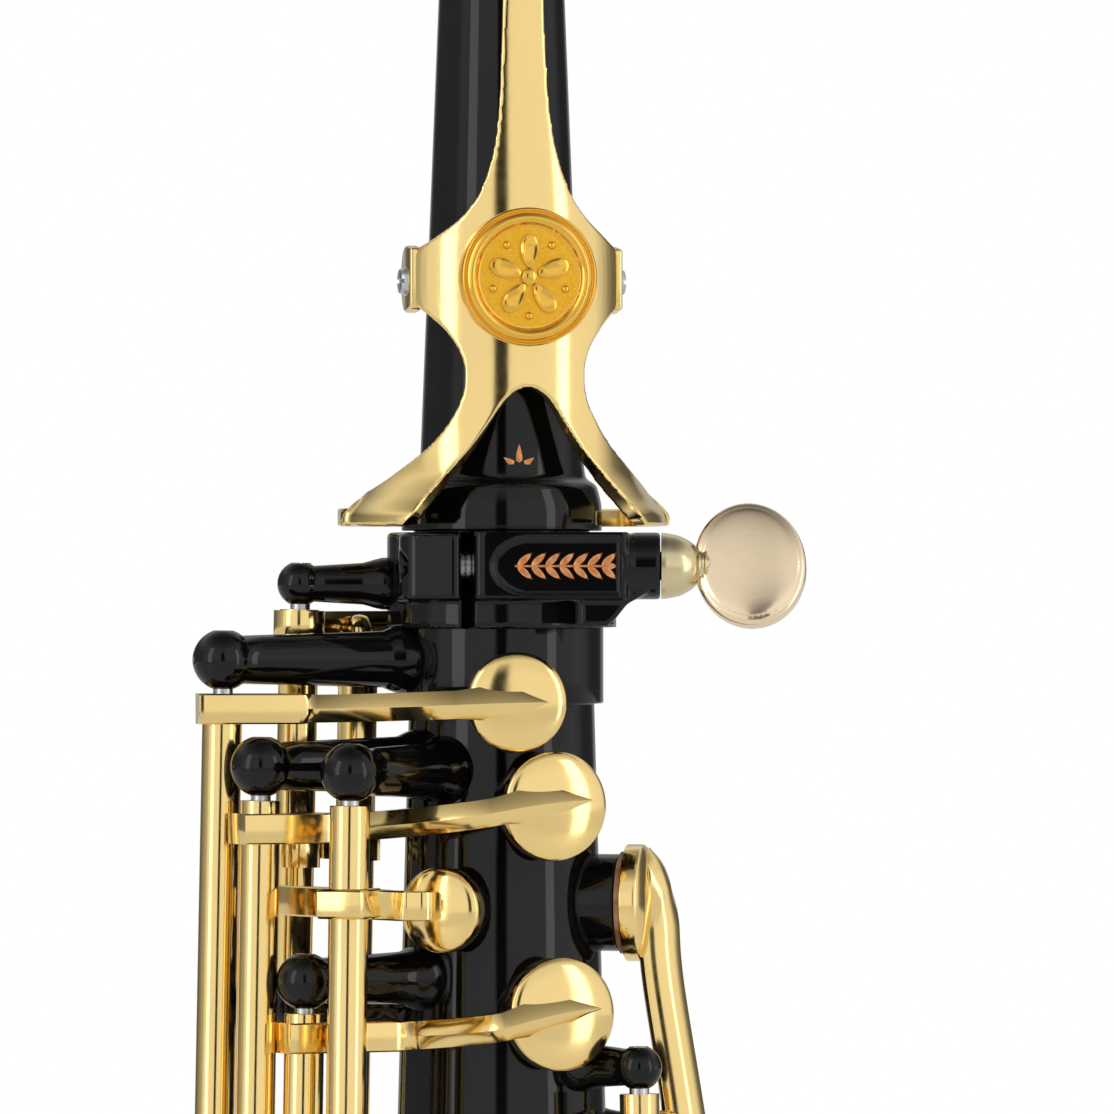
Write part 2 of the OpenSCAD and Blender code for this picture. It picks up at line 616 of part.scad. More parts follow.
module ligature() color(GOLD) neck_frame() difference() {
    union() {
        translate([0, 0, ligature_z]) cylinder(h = 16, r = ligature_r);
        for (z = lug_z, side = [-1, 1])
            translate([side * 2.6 - 0.9, ligature_r - 1, z - 2]) cube([1.8, 4.6, 4]);
    }
    translate([0, 0, ligature_z - 1]) cylinder(h = 18, r = ligature_r - 0.8);
    translate([-1.6, 9, ligature_z - 1]) cube([3.2, 6, 18]);
    for (z = lug_z) translate([-6, ligature_r + 1.7, z]) rotate([0, 90, 0]) cylinder(h = 12, d = 1.7);
}

module ligature_screws() color(GOLD) neck_frame() for (z = lug_z)
    translate([0, ligature_r + 1.7, z]) rotate([0, 90, 0]) {
        translate([0, 0, -4.4]) cylinder(h = 9, d = 1.6);
        translate([0, 0, 3.7]) cylinder(h = 4, d = 4.2);
    }

// ---- Octave mechanism ----

octave_tab_z = 505;

module thumb_octave_key() color(GOLD) {
    touch_z = 458;
    spindle_key(thumb_spindle) {
        sleeve(thumb_line, touch_z);
        sleeve(thumb_line, octave_tab_z);
        sweep([on_line(thumb_line, octave_tab_z), at(-98, 17.4, octave_tab_z), at(-93, 18.5, octave_tab_z)],
            [2.7, 2.7, 2.5], [1.6, 1.5, 1.2], at(-80, 1, 0));
        path = [for (phi = [-108.7:-9.1:-172.4])
            at(phi, mix(15.6 + line_slope * 57, 17.2, (-phi - 108.7) / 64), touch_z)];
        sweep(path, [for (i = [0:len(path) - 1]) i < 4 ? 3 : 3 + (i - 3) * 2.2], [for (p = path) 1.7],
            at(-150, 1, 0));
    }
}

module octave_pin_lever() color(GOLD) {
    arm_z = 527.6;
    spindle_key(octave_pin_spindle) {
        sleeve(octave_pin_line, arm_z, 2.6);
        sleeve(octave_pin_line, octave_tab_z, 4);
        sweep([on_line(octave_pin_line, octave_tab_z), at(-89, 21.3, octave_tab_z),
            at(-94, 20.9, octave_tab_z)],
            [3.6, 3.6, 3.6], [1.6, 1.6, 1.2], at(-90, 1, 0));
        path = [for (i = [0:8]) let (t = i / 8)
            at(mix(-84, -181, t), mix(20.6, 13.15, pow(sin(90 * t), 0.8)), arm_z)];
        sweep(path, [for (p = path) 2.4], [for (p = path) 1.5], at(-130, 1, 0));
        bar(at(180, 13.15, arm_z - 1), at(180, 13.15, 540.6), 1.9);
    }
}

module octave_vent_key() color(GOLD) {
    arm_z = 499.9;
    foot = on_line(vent_line, arm_z);
    mid = at(vent_hole[0], cup_top_r(vent_hole) + 0.3, arm_z - 0.3);
    tail = [-22.2, -8.6, arm_z];
    spindle_key(vent_spindle) {
        sleeve(vent_line, arm_z);
        sweep([foot, mix(foot, mid, 0.5) + [-0.8, -0.6, 0], mid, mid + [2.2, 0.6, 0]], [3, 3, 3, 2.8],
            [1.7, 1.7, 1.7, 1.5], at(-32, 1, 0));
        sweep([foot, mix(foot, tail, 0.5), tail], [2.8, 2.8, 2.8], [1.5, 1.5, 1.3], at(-75, 1, 0));
        cup(vent_hole);
    }
    pad(vent_hole);
}

// ---- Side keys on the left of the clamp's name plate ----

module high_g_key() color(GOLD) {
    spindle_key(high_g_spindle) {
        sleeve(high_g_line, 519.1, 2.9);
        cup_arm(high_g_line, 519.1, high_g_hole, bow = 0);
        side_touch(high_g_line, 312, -86, 38);
        cup(high_g_hole);
    }
    pad(high_g_hole);
}

module high_fsharp_key() color(GOLD) {
    spindle_key(high_fsharp_spindle) {
        sleeve(high_fsharp_line, 507.2, 2.9);
        cup_arm(high_fsharp_line, 507.2, high_fsharp_hole, bow = 0);
        side_touch(high_fsharp_line, 278, -78, 37);
        cup(high_fsharp_hole);
    }
    pad(high_fsharp_hole);
}

module high_e_key() color(GOLD) {
    spindle_key(high_e_spindle) {
        sleeve(high_e_line, 486.4, 2.9);
        cup_arm(high_e_line, 486.4, high_e_hole, bow = 0);
        side_touch(high_e_line, 374, -94, 28, length = 22, width = 7.5);
        cup(high_e_hole);
    }
    pad(high_e_hole);
}

module side_c_key() color(GOLD) {
    spindle_key(side_c_spindle) {
        sleeve(side_c_line, 432);
        cup_arm(side_c_line, 432, side_c_hole, past = 0.1);
        side_touch(side_c_line, 352, -78, 26.5, length = 14, width = 7.5);
        cup(side_c_hole);
    }
    pad(side_c_hole);
}

module side_bb_key() color(GOLD) {
    spindle_key(side_bb_spindle) {
        sleeve(side_bb_line, 408);
        cup_arm(side_bb_line, 408, side_bb_hole, past = 0.1);
        side_touch(side_bb_line, 327, -84, 28, length = 14, width = 7.5);
        cup(side_bb_hole);
    }
    pad(side_bb_hole);
}

// ---- Palm keys: levers along the body that rock on a cross tube ----

// Each lever is [hole, fulcrum height, touch height]
palm_f = [palm_f_hole, 476.6, 454];
palm_eb = [palm_eb_hole, 442, 420];
palm_d = [palm_d_hole, 434, 412];
PALM_KEYS = [palm_f, palm_eb, palm_d];
palm_half = 3;              // half the length of a palm key's cross tube
palm_ball_d = 3.4;
palm_twist = 20;            // how far a lever is turned towards the front about its own length

function fulcrum_r(palm) = body_r(palm[1]) + 6.4;

// Turns +X along the palm key's cross tube, from its middle
module at_fulcrum(palm) {
    translate(at(palm[0][0], fulcrum_r(palm), palm[1])) rotate([0, 0, palm[0][0]]) children();
}

module palm_key(palm) {
    phi = palm[0][0];
    top = cup_top_r(palm[0]) + 0.3;
    z = palm[0][1];
    path = [for (p = curve([[top - 0.1, z + 2.6], [top + 0.1, z - 1], [top + 0.7, z - 8],
        [fulcrum_r(palm) + 2, palm[1]], [fulcrum_r(palm) + 3.4, palm[2] + 10],
        [fulcrum_r(palm) + 6.4, palm[2]],
        [fulcrum_r(palm) + 5.4, palm[2] - 8]], 3)) at(phi, p[0], p[1])];
    last = len(path) - 1;
    difference() {
        union() {
            at_fulcrum(palm) rotate([0, 90, 0]) cylinder(h = 2 * palm_half, d = tube_d, center = true);
            sweep(path, [for (i = [0:last]) let (t = i / last)
                t < 0.3 ? mix(0.8, 4.6, t / 0.3) : t < 0.62 ? 4.6 : 4.6 + 4 * sin(180 * (t - 0.62) / 0.42)],
                [for (i = [0:last]) i == 0 ? 0.6 : 1.8], at(phi - palm_twist, 1, 0));
            cup(palm[0]);
        }
        at_fulcrum(palm) rotate([0, 90, 0]) cylinder(h = 30, d = rod_d + 2 * running_gap, center = true);
    }
    pad(palm[0]);
}

module palm_f_key() color(GOLD) palm_key(palm_f);
module palm_eb_key() color(GOLD) palm_key(palm_eb);
module palm_d_key() color(GOLD) palm_key(palm_d);

module palm_posts() color(BLACK) difference() {
    for (palm = PALM_KEYS, side = [-1, 1]) {
        off = palm_half + end_gap + palm_ball_d / 2;
        stem = fulcrum_r(palm) - sqrt(pow(body_r(palm[1]), 2) - off * off) + 1;
        at_fulcrum(palm) translate([side * off, stem, 0]) rotate([90, 0, 0])
            post_shape(stem, palm_ball_d, 4, 2.9);
    }
    for (palm = PALM_KEYS) at_fulcrum(palm) translate([-9, 0, 0]) rotate([0, 90, 0])
        cylinder(h = 18, d = rod_d + rod_fit);
    body_core();
}

module palm_rods() color(STEEL) for (palm = PALM_KEYS)
    at_fulcrum(palm) rotate([0, 90, 0])
        cylinder(h = 2 * (palm_half + end_gap + palm_ball_d + 0.1), d = rod_d, center = true);

// ---- Main stacks: keys that stand open over the front of the body ----

left_open = 8;
right_open = 9;

module stack_key(line, top, bottom, hole, open, pearl_z = 0, pearl_phi = 24, pearl_up = 8.6) {
    swung(line, open) {
        key(line, top, bottom) {
            sleeve(line, hole[1]);
            cup_arm(line, hole[1], hole);
            cup(hole);
            if (pearl_z > 0) pearl_dish(line, pearl_z, pearl_phi, body_r(pearl_z) + pearl_up);
        }
        pad(hole);
        if (pearl_z > 0) pearl(pearl_z, pearl_phi, body_r(pearl_z) + pearl_up);
    }
}

module c_key() color(GOLD)
    stack_key(left_stack_line, tube_top(left_stack_spindle), 444.5, c_hole, left_open);
module b_key() color(GOLD) stack_key(left_stack_line, 444.2, 428.6, b_hole, left_open, pearl_z = 434);
module a_key() color(GOLD) stack_key(left_stack_line, 423, 403, a_hole, left_open, pearl_z = 412);
module g_key() color(GOLD) stack_key(left_stack_line, 402.7, 378.8, g_hole, left_open, pearl_z = 389);
module fsharp_key() color(GOLD) stack_key(right_stack_line, 350, 328, fsharp_hole, right_open);
module f_key() color(GOLD) stack_key(right_stack_line, 327.7, 300, f_hole, right_open, pearl_z = 309);
module e_key() color(GOLD) stack_key(right_stack_line, 294, 262.5, e_hole, right_open, pearl_z = 276);
module d_key() color(GOLD) stack_key(right_stack_line, 262.2, 230, d_hole, right_open, pearl_z = 243);

// ---- Little finger keys ----

module gsharp_key() color(GOLD) {
    spindle_key(gsharp_spindle) {
        sleeve(gsharp_line, 366.5);
        cup_arm(gsharp_line, 366.5, gsharp_hole);
        side_touch(gsharp_line, 326, 112, 29, length = 13, width = 9);
        cup(gsharp_hole);
    }
    pad(gsharp_hole);
}

module low_csharp_key() color(GOLD) {
    spindle_key(low_csharp_spindle) {
        sleeve(low_csharp_line, 158);
        cup_arm(low_csharp_line, 158, low_csharp_hole);
        side_touch(low_csharp_line, 308, 124, 30, length = 13, width = 9);
        cup(low_csharp_hole);
    }
    pad(low_csharp_hole);
}

low_open = 9;

module low_b_key() color(GOLD) swung(low_b_line, low_open) {
    spindle_key(low_b_spindle) {
        sleeve(low_b_line, 121);
        cup_arm(low_b_line, 121, low_b_hole);
        side_touch(low_b_line, 291, 108, 30, length = 13, width = 9);
        cup(low_b_hole);
    }
    pad(low_b_hole);
}

module low_bb_key() color(GOLD) swung(low_bb_line, low_open) {
    spindle_key(low_bb_spindle) {
        sleeve(low_bb_line, 84);
        cup_arm(low_bb_line, 84, low_bb_hole);
        side_touch(low_bb_line, 274, 116, 30, length = 13, width = 9);
        cup(low_bb_hole);
    }
    pad(low_bb_hole);
}

module eb_key() color(GOLD) {
    key(low_c_line, 226, 205.4) {
        sleeve(low_c_line, 214);
        cup_arm(low_c_line, 214, eb_hole);
        side_touch(low_c_line, 218, -42, 30, length = 12, width = 9);
        cup(eb_hole);
    }
    pad(eb_hole);
}

module low_c_key() color(GOLD) swung(low_c_line, -low_open) {
    key(low_c_line, 204.7, 173) {
        sleeve(low_c_line, 188);
        cup_arm(low_c_line, 188, low_c_hole);
        side_touch(low_c_line, 203, -42, 31, length = 12, width = 9);
        cup(low_c_hole);
    }
    pad(low_c_hole);
}

body_tube();
lower_tube();
bell();
bell_ring();
neck_clamp();
upper_posts();
lower_posts();
palm_posts();
hinge_rods();
palm_rods();
needle_springs();
key_guards();
guard_felts();
thumb_rest();
thumb_hook();
strap_ring();
clamp_screw();
neck_tube();
neck_cork();
neck_pivot_screws();
neck_octave_key();
key_medallion();
neck_octave_pad();
mouthpiece();
reed();
ligature();
ligature_screws();
thumb_octave_key();
octave_pin_lever();
octave_vent_key();
high_g_key();
high_fsharp_key();
high_e_key();
palm_f_key();
palm_eb_key();
palm_d_key();
side_c_key();
side_bb_key();
c_key();
b_key();
a_key();
g_key();
gsharp_key();
fsharp_key();
f_key();
e_key();
d_key();
eb_key();
low_c_key();
low_csharp_key();
low_b_key();
low_bb_key();
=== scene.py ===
import json
import math

import bmesh
import bpy
from mathutils import Matrix, Vector


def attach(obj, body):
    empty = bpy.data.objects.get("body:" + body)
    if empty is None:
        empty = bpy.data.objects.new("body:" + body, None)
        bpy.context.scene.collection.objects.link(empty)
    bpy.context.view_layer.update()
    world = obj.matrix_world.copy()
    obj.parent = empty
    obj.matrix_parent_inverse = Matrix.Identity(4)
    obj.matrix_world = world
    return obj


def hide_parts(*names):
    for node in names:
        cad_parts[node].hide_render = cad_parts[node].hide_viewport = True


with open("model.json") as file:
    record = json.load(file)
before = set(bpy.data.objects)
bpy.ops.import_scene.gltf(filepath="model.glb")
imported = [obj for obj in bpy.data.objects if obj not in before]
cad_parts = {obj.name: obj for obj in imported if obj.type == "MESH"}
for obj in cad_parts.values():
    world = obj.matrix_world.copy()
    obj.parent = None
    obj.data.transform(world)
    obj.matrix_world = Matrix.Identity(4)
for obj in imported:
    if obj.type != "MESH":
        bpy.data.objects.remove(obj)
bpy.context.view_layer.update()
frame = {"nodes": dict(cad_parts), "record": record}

MM = 0.001
COLLECTION = bpy.context.scene.collection


# ---- Materials ----

def new_material(name, color, roughness, metallic=0.0, coat=0.0):
    """A Principled material and its shader, with the values that don't vary set on the sockets."""
    mat = bpy.data.materials.new(name)
    mat.use_nodes = True
    shader = mat.node_tree.nodes["Principled BSDF"]
    shader.inputs["Base Color"].default_value = (*color, 1)
    shader.inputs["Roughness"].default_value = roughness
    shader.inputs["Metallic"].default_value = metallic
    shader.inputs["Coat Weight"].default_value = coat
    shader.inputs["Coat Roughness"].default_value = 0.03
    return mat, shader


def noise(mat, scale, detail=4.0, stretch=(1, 1, 1)):
    """A noise value in object space. A stretch below 1 draws the grain out along that axis."""
    nodes, links = mat.node_tree.nodes, mat.node_tree.links
    where = nodes.new("ShaderNodeTexCoord")
    mapping = nodes.new("ShaderNodeMapping")
    mapping.inputs["Scale"].default_value = stretch
    texture = nodes.new("ShaderNodeTexNoise")
    texture.inputs["Scale"].default_value = scale
    texture.inputs["Detail"].default_value = detail
    links.new(where.outputs["Object"], mapping.inputs["Vector"])
    links.new(mapping.outputs["Vector"], texture.inputs["Vector"])
    return texture.outputs["Fac"]


def vary_roughness(mat, shader, value, low, high):
    spread = mat.node_tree.nodes.new("ShaderNodeMapRange")
    spread.inputs["From Min"].default_value = 0.3
    spread.inputs["From Max"].default_value = 0.7
    spread.inputs["To Min"].default_value = low
    spread.inputs["To Max"].default_value = high
    mat.node_tree.links.new(value, spread.inputs["Value"])
    mat.node_tree.links.new(spread.outputs["Result"], shader.inputs["Roughness"])


def vary_color(mat, shader, value, dark, light, low=0.35, high=0.65):
    ramp = mat.node_tree.nodes.new("ShaderNodeValToRGB")
    ramp.color_ramp.elements[0].position = low
    ramp.color_ramp.elements[0].color = (*dark, 1)
    ramp.color_ramp.elements[1].position = high
    ramp.color_ramp.elements[1].color = (*light, 1)
    mat.node_tree.links.new(value, ramp.inputs["Fac"])
    mat.node_tree.links.new(ramp.outputs["Color"], shader.inputs["Base Color"])


def add_bump(mat, shader, value, depth_mm, strength=1.0):
    bump = mat.node_tree.nodes.new("ShaderNodeBump")
    bump.inputs["Distance"].default_value = depth_mm * MM
    bump.inputs["Strength"].default_value = strength
    mat.node_tree.links.new(value, bump.inputs["Height"])
    mat.node_tree.links.new(bump.outputs["Normal"], shader.inputs["Normal"])


def lacquered_metal(name, color, roughness, orange_peel=0.002, shade=0.94):
    """Polished metal under clear lacquer: faint tone drift, uneven gloss and a slight orange peel."""
    mat, shader = new_material(name, color, roughness, metallic=1.0, coat=0.15)
    darker = tuple(c * shade for c in color)
    vary_color(mat, shader, noise(mat, 45), darker, color)
    vary_roughness(mat, shader, noise(mat, 900, 6), roughness * 0.85, roughness * 1.2)
    add_bump(mat, shader, noise(mat, 500, 2), orange_peel)
    return mat


def black_lacquer():
    mat, shader = new_material("black_lacquer", (0.003, 0.003, 0.0035), 0.06)
    shader.inputs["IOR"].default_value = 1.38
    vary_color(mat, shader, noise(mat, 60), (0.002, 0.002, 0.0023), (0.0045, 0.0045, 0.005))
    vary_roughness(mat, shader, noise(mat, 1100, 6), 0.045, 0.085)
    add_bump(mat, shader, noise(mat, 300, 2), 0.002)
    return mat


def satin_gold():
    mat, shader = new_material("satin_gold", (0.9, 0.5, 0.045), 0.45, metallic=1.0)
    vary_color(mat, shader, noise(mat, 5000, 2), (0.82, 0.42, 0.03), (0.95, 0.55, 0.05))
    vary_roughness(mat, shader, noise(mat, 5000, 2), 0.4, 0.52)
    add_bump(mat, shader, noise(mat, 9000, 2), 0.012)
    return mat


def turned_steel():
    mat, shader = new_material("turned_steel", (0.55, 0.56, 0.58), 0.24, metallic=1.0)
    vary_roughness(mat, shader, noise(mat, 2500, 4, (1, 1, 8)), 0.16, 0.34)
    add_bump(mat, shader, noise(mat, 3000, 3, (1, 1, 10)), 0.01)
    return mat


def ebonite():
    mat, shader = new_material("ebonite", (0.012, 0.011, 0.011), 0.2)
    vary_color(mat, shader, noise(mat, 90), (0.008, 0.008, 0.008), (0.017, 0.015, 0.014))
    vary_roughness(mat, shader, noise(mat, 1500, 6), 0.14, 0.28)
    add_bump(mat, shader, noise(mat, 900, 3), 0.006)
    return mat


def cork():
    mat, shader = new_material("cork", (0.5, 0.32, 0.17), 0.75)
    vary_color(mat, shader, noise(mat, 1400, 8), (0.27, 0.15, 0.07), (0.6, 0.4, 0.22), 0.38, 0.56)
    add_bump(mat, shader, noise(mat, 1600, 8), 0.12)
    return mat


def felt(name, color):
    mat, shader = new_material(name, color, 0.95)
    shader.inputs["Sheen Weight"].default_value = 0.6
    vary_color(mat, shader, noise(mat, 2400, 8), tuple(c * 0.55 for c in color), color)
    add_bump(mat, shader, noise(mat, 3200, 8), 0.15)
    return mat


def leather():
    mat, shader = new_material("leather", (0.42, 0.2, 0.09), 0.55)
    vary_color(mat, shader, noise(mat, 700, 6), (0.3, 0.12, 0.05), (0.5, 0.27, 0.13))
    add_bump(mat, shader, noise(mat, 1800, 5), 0.05)
    return mat


def cane():
    mat, shader = new_material("cane", (0.76, 0.6, 0.32), 0.5)
    vary_color(mat, shader, noise(mat, 1500, 6, (1, 1, 0.03)), (0.62, 0.45, 0.2), (0.84, 0.7, 0.42))
    add_bump(mat, shader, noise(mat, 2600, 4, (1, 1, 0.03)), 0.03)
    return mat


def pearl():
    mat, shader = new_material("pearl", (0.85, 0.84, 0.8), 0.16, coat=0.8)
    clouds = noise(mat, 260, 5, (1, 1, 0.4))
    vary_color(mat, shader, clouds, (0.62, 0.68, 0.7), (0.95, 0.9, 0.84), 0.35, 0.65)
    shader.inputs["Sheen Weight"].default_value = 0.15
    return mat


def copper_engraving():
    mat, shader = new_material("copper_engraving", (0.8, 0.33, 0.12), 0.4, metallic=1.0)
    vary_color(mat, shader, noise(mat, 1500, 3), (0.62, 0.22, 0.07), (0.86, 0.4, 0.17))
    add_bump(mat, shader, noise(mat, 4000, 2), 0.02)
    return mat


GOLD_COLOR = (0.96, 0.71, 0.29)
MATERIALS = {
    "black_lacquer": black_lacquer(),
    "gold_lacquer": lacquered_metal("gold_lacquer", GOLD_COLOR, 0.12),
    "deep_gold": lacquered_metal("deep_gold", (0.9, 0.52, 0.08), 0.16),
    "pale_gold": lacquered_metal("pale_gold", (0.95, 0.77, 0.53), 0.18),
    "steel": turned_steel(),
    "ebonite": ebonite(),
    "cork": cork(),
    "felt": felt("red_felt", (0.42, 0.03, 0.035)),
    "leather": leather(),
    "cane": cane(),
}
SATIN_GOLD = satin_gold()
PEARL = pearl()
COPPER = copper_engraving()
CHAMPAGNE = lacquered_metal("greenish_gold", (0.72, 0.62, 0.36), 0.2)


# ---- Shapes, in millimetres ----

def at(phi, r, z):
    """The point at an angle round the bore from -Y towards +X, a distance from its axis and a height."""
    a = math.radians(phi)
    return Vector((r * math.sin(a), -r * math.cos(a), z))


def facing(phi, r, z):
    """Turns +Z to face straight out from the bore at phi, with +Y up."""
    return (Matrix.Translation(at(phi, r, z)) @ Matrix.Rotation(math.radians(phi), 4, "Z")
            @ Matrix.Rotation(math.radians(90), 4, "X"))


def turned(x=0, y=0, z=0):
    return (Matrix.Rotation(math.radians(z), 4, "Z") @ Matrix.Rotation(math.radians(y), 4, "Y")
            @ Matrix.Rotation(math.radians(x), 4, "X"))


def mix(a, b, t):
    return a + (b - a) * t


def ease(t):
    return t * t * (3 - 2 * t)


def lookup(table, t):
    """The value at t in a list of (t, value) in order, in straight steps."""
    if t <= table[0][0]:
        return table[0][1]
    for (t0, v0), (t1, v1) in zip(table, table[1:]):
        if t <= t1:
            return mix(v0, v1, (t - t0) / (t1 - t0))
    return table[-1][1]


def smooth_lookup(table, t):
    """The value at t on a smooth curve through a list of (t, value) in order."""
    if t <= table[0][0]:
        return table[0][1]
    if t >= table[-1][0]:
        return table[-1][1]
    i = max(k for k in range(len(table) - 1) if table[k][0] <= t)

    def slope(k):
        a, b = table[max(k - 1, 0)], table[min(k + 1, len(table) - 1)]
        return (b[1] - a[1]) / (b[0] - a[0])

    (t0, v0), (t1, v1) = table[i], table[i + 1]
    span = t1 - t0
    u = (t - t0) / span
    return ((2 * u**3 - 3 * u**2 + 1) * v0 + (u**3 - 2 * u**2 + u) * span * slope(i)
            + (3 * u**2 - 2 * u**3) * v1 + (u**3 - u**2) * span * slope(i + 1))


def rounded(points, radius, steps=4):
    """A profile with its inner corners rounded. radius is one number or one for each corner."""
    points = [Vector(p) for p in points]
    radii = radius if isinstance(radius, (list, tuple)) else [radius] * (len(points) - 2)
    out = [points[0]]
    for a, b, c, r in zip(points, points[1:], points[2:], radii):
        to_a, to_c = (a - b), (c - b)
        cut = min(r, 0.45 * to_a.length, 0.45 * to_c.length)
        if cut < 0.005:
            out.append(b)
            continue
        p, q = b + to_a.normalized() * cut, b + to_c.normalized() * cut
        for k in range(steps + 1):
            t = k / steps
            out.append((1 - t)**2 * p + 2 * t * (1 - t) * b + t * t * q)
    out.append(points[-1])
    return out


def lathe(bm, profile, place=None, segments=96):
    """Turns a profile of (r, z) about Z. It closes on itself unless it starts and ends on the axis."""
    place = place or Matrix()
    turns = [(math.cos(2 * math.pi * k / segments), math.sin(2 * math.pi * k / segments))
             for k in range(segments)]
    rings = []
    for r, z in profile:
        if r < 1e-6:
            rings.append([bm.verts.new(place @ Vector((0, 0, z)))])
        else:
            rings.append([bm.verts.new(place @ Vector((r * c, r * s, z))) for c, s in turns])
    pairs = list(zip(rings, rings[1:]))
    if profile[0][0] > 1e-6:
        pairs.append((rings[-1], rings[0]))
    for a, b in pairs:
        for k in range(segments):
            corners = []
            for v in (a[k % len(a)], a[(k + 1) % len(a)], b[(k + 1) % len(b)], b[k % len(b)]):
                if v not in corners:
                    corners.append(v)
            if len(corners) > 2:
                bm.faces.new(corners)


def sweep(bm, path, out, sections):
    """Skins a list of sections, each [(across, outward), ...] in mm, along a path. out is one or a list."""
    outs = out if isinstance(out, list) else [out] * len(path)
    rings = []
    last = len(path) - 1
    for i, (p, out, section) in enumerate(zip(path, outs, sections)):
        along = (path[min(i + 1, last)] - path[max(i - 1, 0)]).normalized()
        up = (out - out.dot(along) * along).normalized()
        across = up.cross(along)
        rings.append([bm.verts.new(p + across * a + up * o) for a, o in section])
    n = len(rings[0])
    for a, b in zip(rings, rings[1:]):
        for k in range(n):
            bm.faces.new((a[k], b[k], b[(k + 1) % n], a[(k + 1) % n]))
    bm.faces.new(rings[0])
    bm.faces.new(rings[-1][::-1])


def box(bm, low, high, place=None):
    made = bmesh.ops.create_cube(bm, size=1)
    low, high = Vector(low), Vector(high)
    fit = Matrix.Translation((low + high) / 2) @ Matrix.Diagonal((*(high - low), 1))
    bmesh.ops.transform(bm, matrix=(place or Matrix()) @ fit, verts=made["verts"])


def prism(bm, outline, depth, place=None):
    """A prism of an outline in XY, from z = 0 to depth."""
    place = place or Matrix()
    rings = [[bm.verts.new(place @ Vector((x, y, z))) for x, y in outline] for z in (0, depth)]
    n = len(outline)
    for k in range(n):
        bm.faces.new((rings[0][k], rings[0][(k + 1) % n], rings[1][(k + 1) % n], rings[1][k]))
    bm.faces.new(rings[0][::-1])
    bm.faces.new(rings[1])


def as_object(bm, name="scratch", solid=True):
    if solid:
        bmesh.ops.recalc_face_normals(bm, faces=bm.faces)
    mesh = bpy.data.meshes.new(name)
    bm.to_mesh(mesh)
    bm.free()
    obj = bpy.data.objects.new(name, mesh)
    COLLECTION.objects.link(obj)
    return obj


def take_mesh(obj):
    """The object's mesh with its modifiers, as a bmesh. The object is removed."""
    view = bpy.context.evaluated_depsgraph_get()
    bm = bmesh.new()
    bm.from_mesh(bpy.data.meshes.new_from_object(obj.evaluated_get(view)))
    bpy.data.objects.remove(obj)
    return bm


def combine(base, *steps):
    """Booleans in order on a closed bmesh: steps are ("UNION" or "DIFFERENCE", bmesh)."""
    obj = as_object(base)
    tools = []
    for operation, bm in steps:
        tool = as_object(bm, "tool")
        tools.append(tool)
        modifier = obj.modifiers.new("boolean", "BOOLEAN")
        modifier.operation = operation
        modifier.object = tool
        modifier.solver = "MANIFOLD"
    result = take_mesh(obj)
    for tool in tools:
        bpy.data.objects.remove(tool)
    return result


def cast(bm, voxel, passes):
    """Melts a closed shape's edges and joins into small fillets, as on a casting."""
    obj = as_object(bm)
    modifier = obj.modifiers.new("remesh", "REMESH")
    modifier.mode = "VOXEL"
    modifier.voxel_size = voxel
    modifier = obj.modifiers.new("fillet", "SMOOTH")
    modifier.factor = 0.5
    modifier.iterations = passes
    return take_mesh(obj)


def loose_parts(mesh):
    """The mesh's separate solids, as lists of face indices."""
    bm = bmesh.new()
    bm.from_mesh(mesh)
    bmesh.ops.remove_doubles(bm, verts=bm.verts, dist=0.002 * MM)
    places = {}
    for v in bm.verts:
        places[v.index] = tuple(round(c * 2e5) for c in v.co)
    bm.free()
    parent = list(range(len(mesh.vertices)))

    def root(i):
        while parent[i] != i:
            parent[i] = parent[parent[i]]
            i = parent[i]
        return i

    first = {}
    for v in mesh.vertices:
        key = tuple(round(c * 2e5) for c in v.co)
        parent[root(v.index)] = root(first.setdefault(key, v.index))
    for face in mesh.polygons:
        for v in face.vertices[1:]:
            parent[root(v)] = root(face.vertices[0])
    parts = {}
    for face in mesh.polygons:
        parts.setdefault(root(face.vertices[0]), []).append(face.index)
    return list(parts.values())


# ---- Finish of surfaces ----

def smooth_by_angle_group():
    """Geometry nodes that shade faces smooth and keep edges above 40 degrees sharp."""
    group = bpy.data.node_groups.new("smooth_by_angle", "GeometryNodeTree")
    group.interface.new_socket("Geometry", in_out="INPUT", socket_type="NodeSocketGeometry")
    group.interface.new_socket("Geometry", in_out="OUTPUT", socket_type="NodeSocketGeometry")
    new = group.nodes.new
    begin, end = new("NodeGroupInput"), new("NodeGroupOutput")
    angle, compare = new("GeometryNodeInputMeshEdgeAngle"), new("FunctionNodeCompare")
    compare.data_type = "FLOAT"
    compare.operation = "LESS_EQUAL"
    compare.inputs["B"].default_value = math.radians(40)
    faces, edges = new("GeometryNodeSetShadeSmooth"), new("GeometryNodeSetShadeSmooth")
    faces.domain = "FACE"
    edges.domain = "EDGE"
    link = group.links.new
    link(begin.outputs[0], faces.inputs["Geometry"])
    link(faces.outputs["Geometry"], edges.inputs["Geometry"])
    link(angle.outputs["Unsigned Angle"], compare.inputs["A"])
    link(compare.outputs["Result"], edges.inputs["Shade Smooth"])
    link(edges.outputs["Geometry"], end.inputs[0])
    return group


SMOOTH = smooth_by_angle_group()


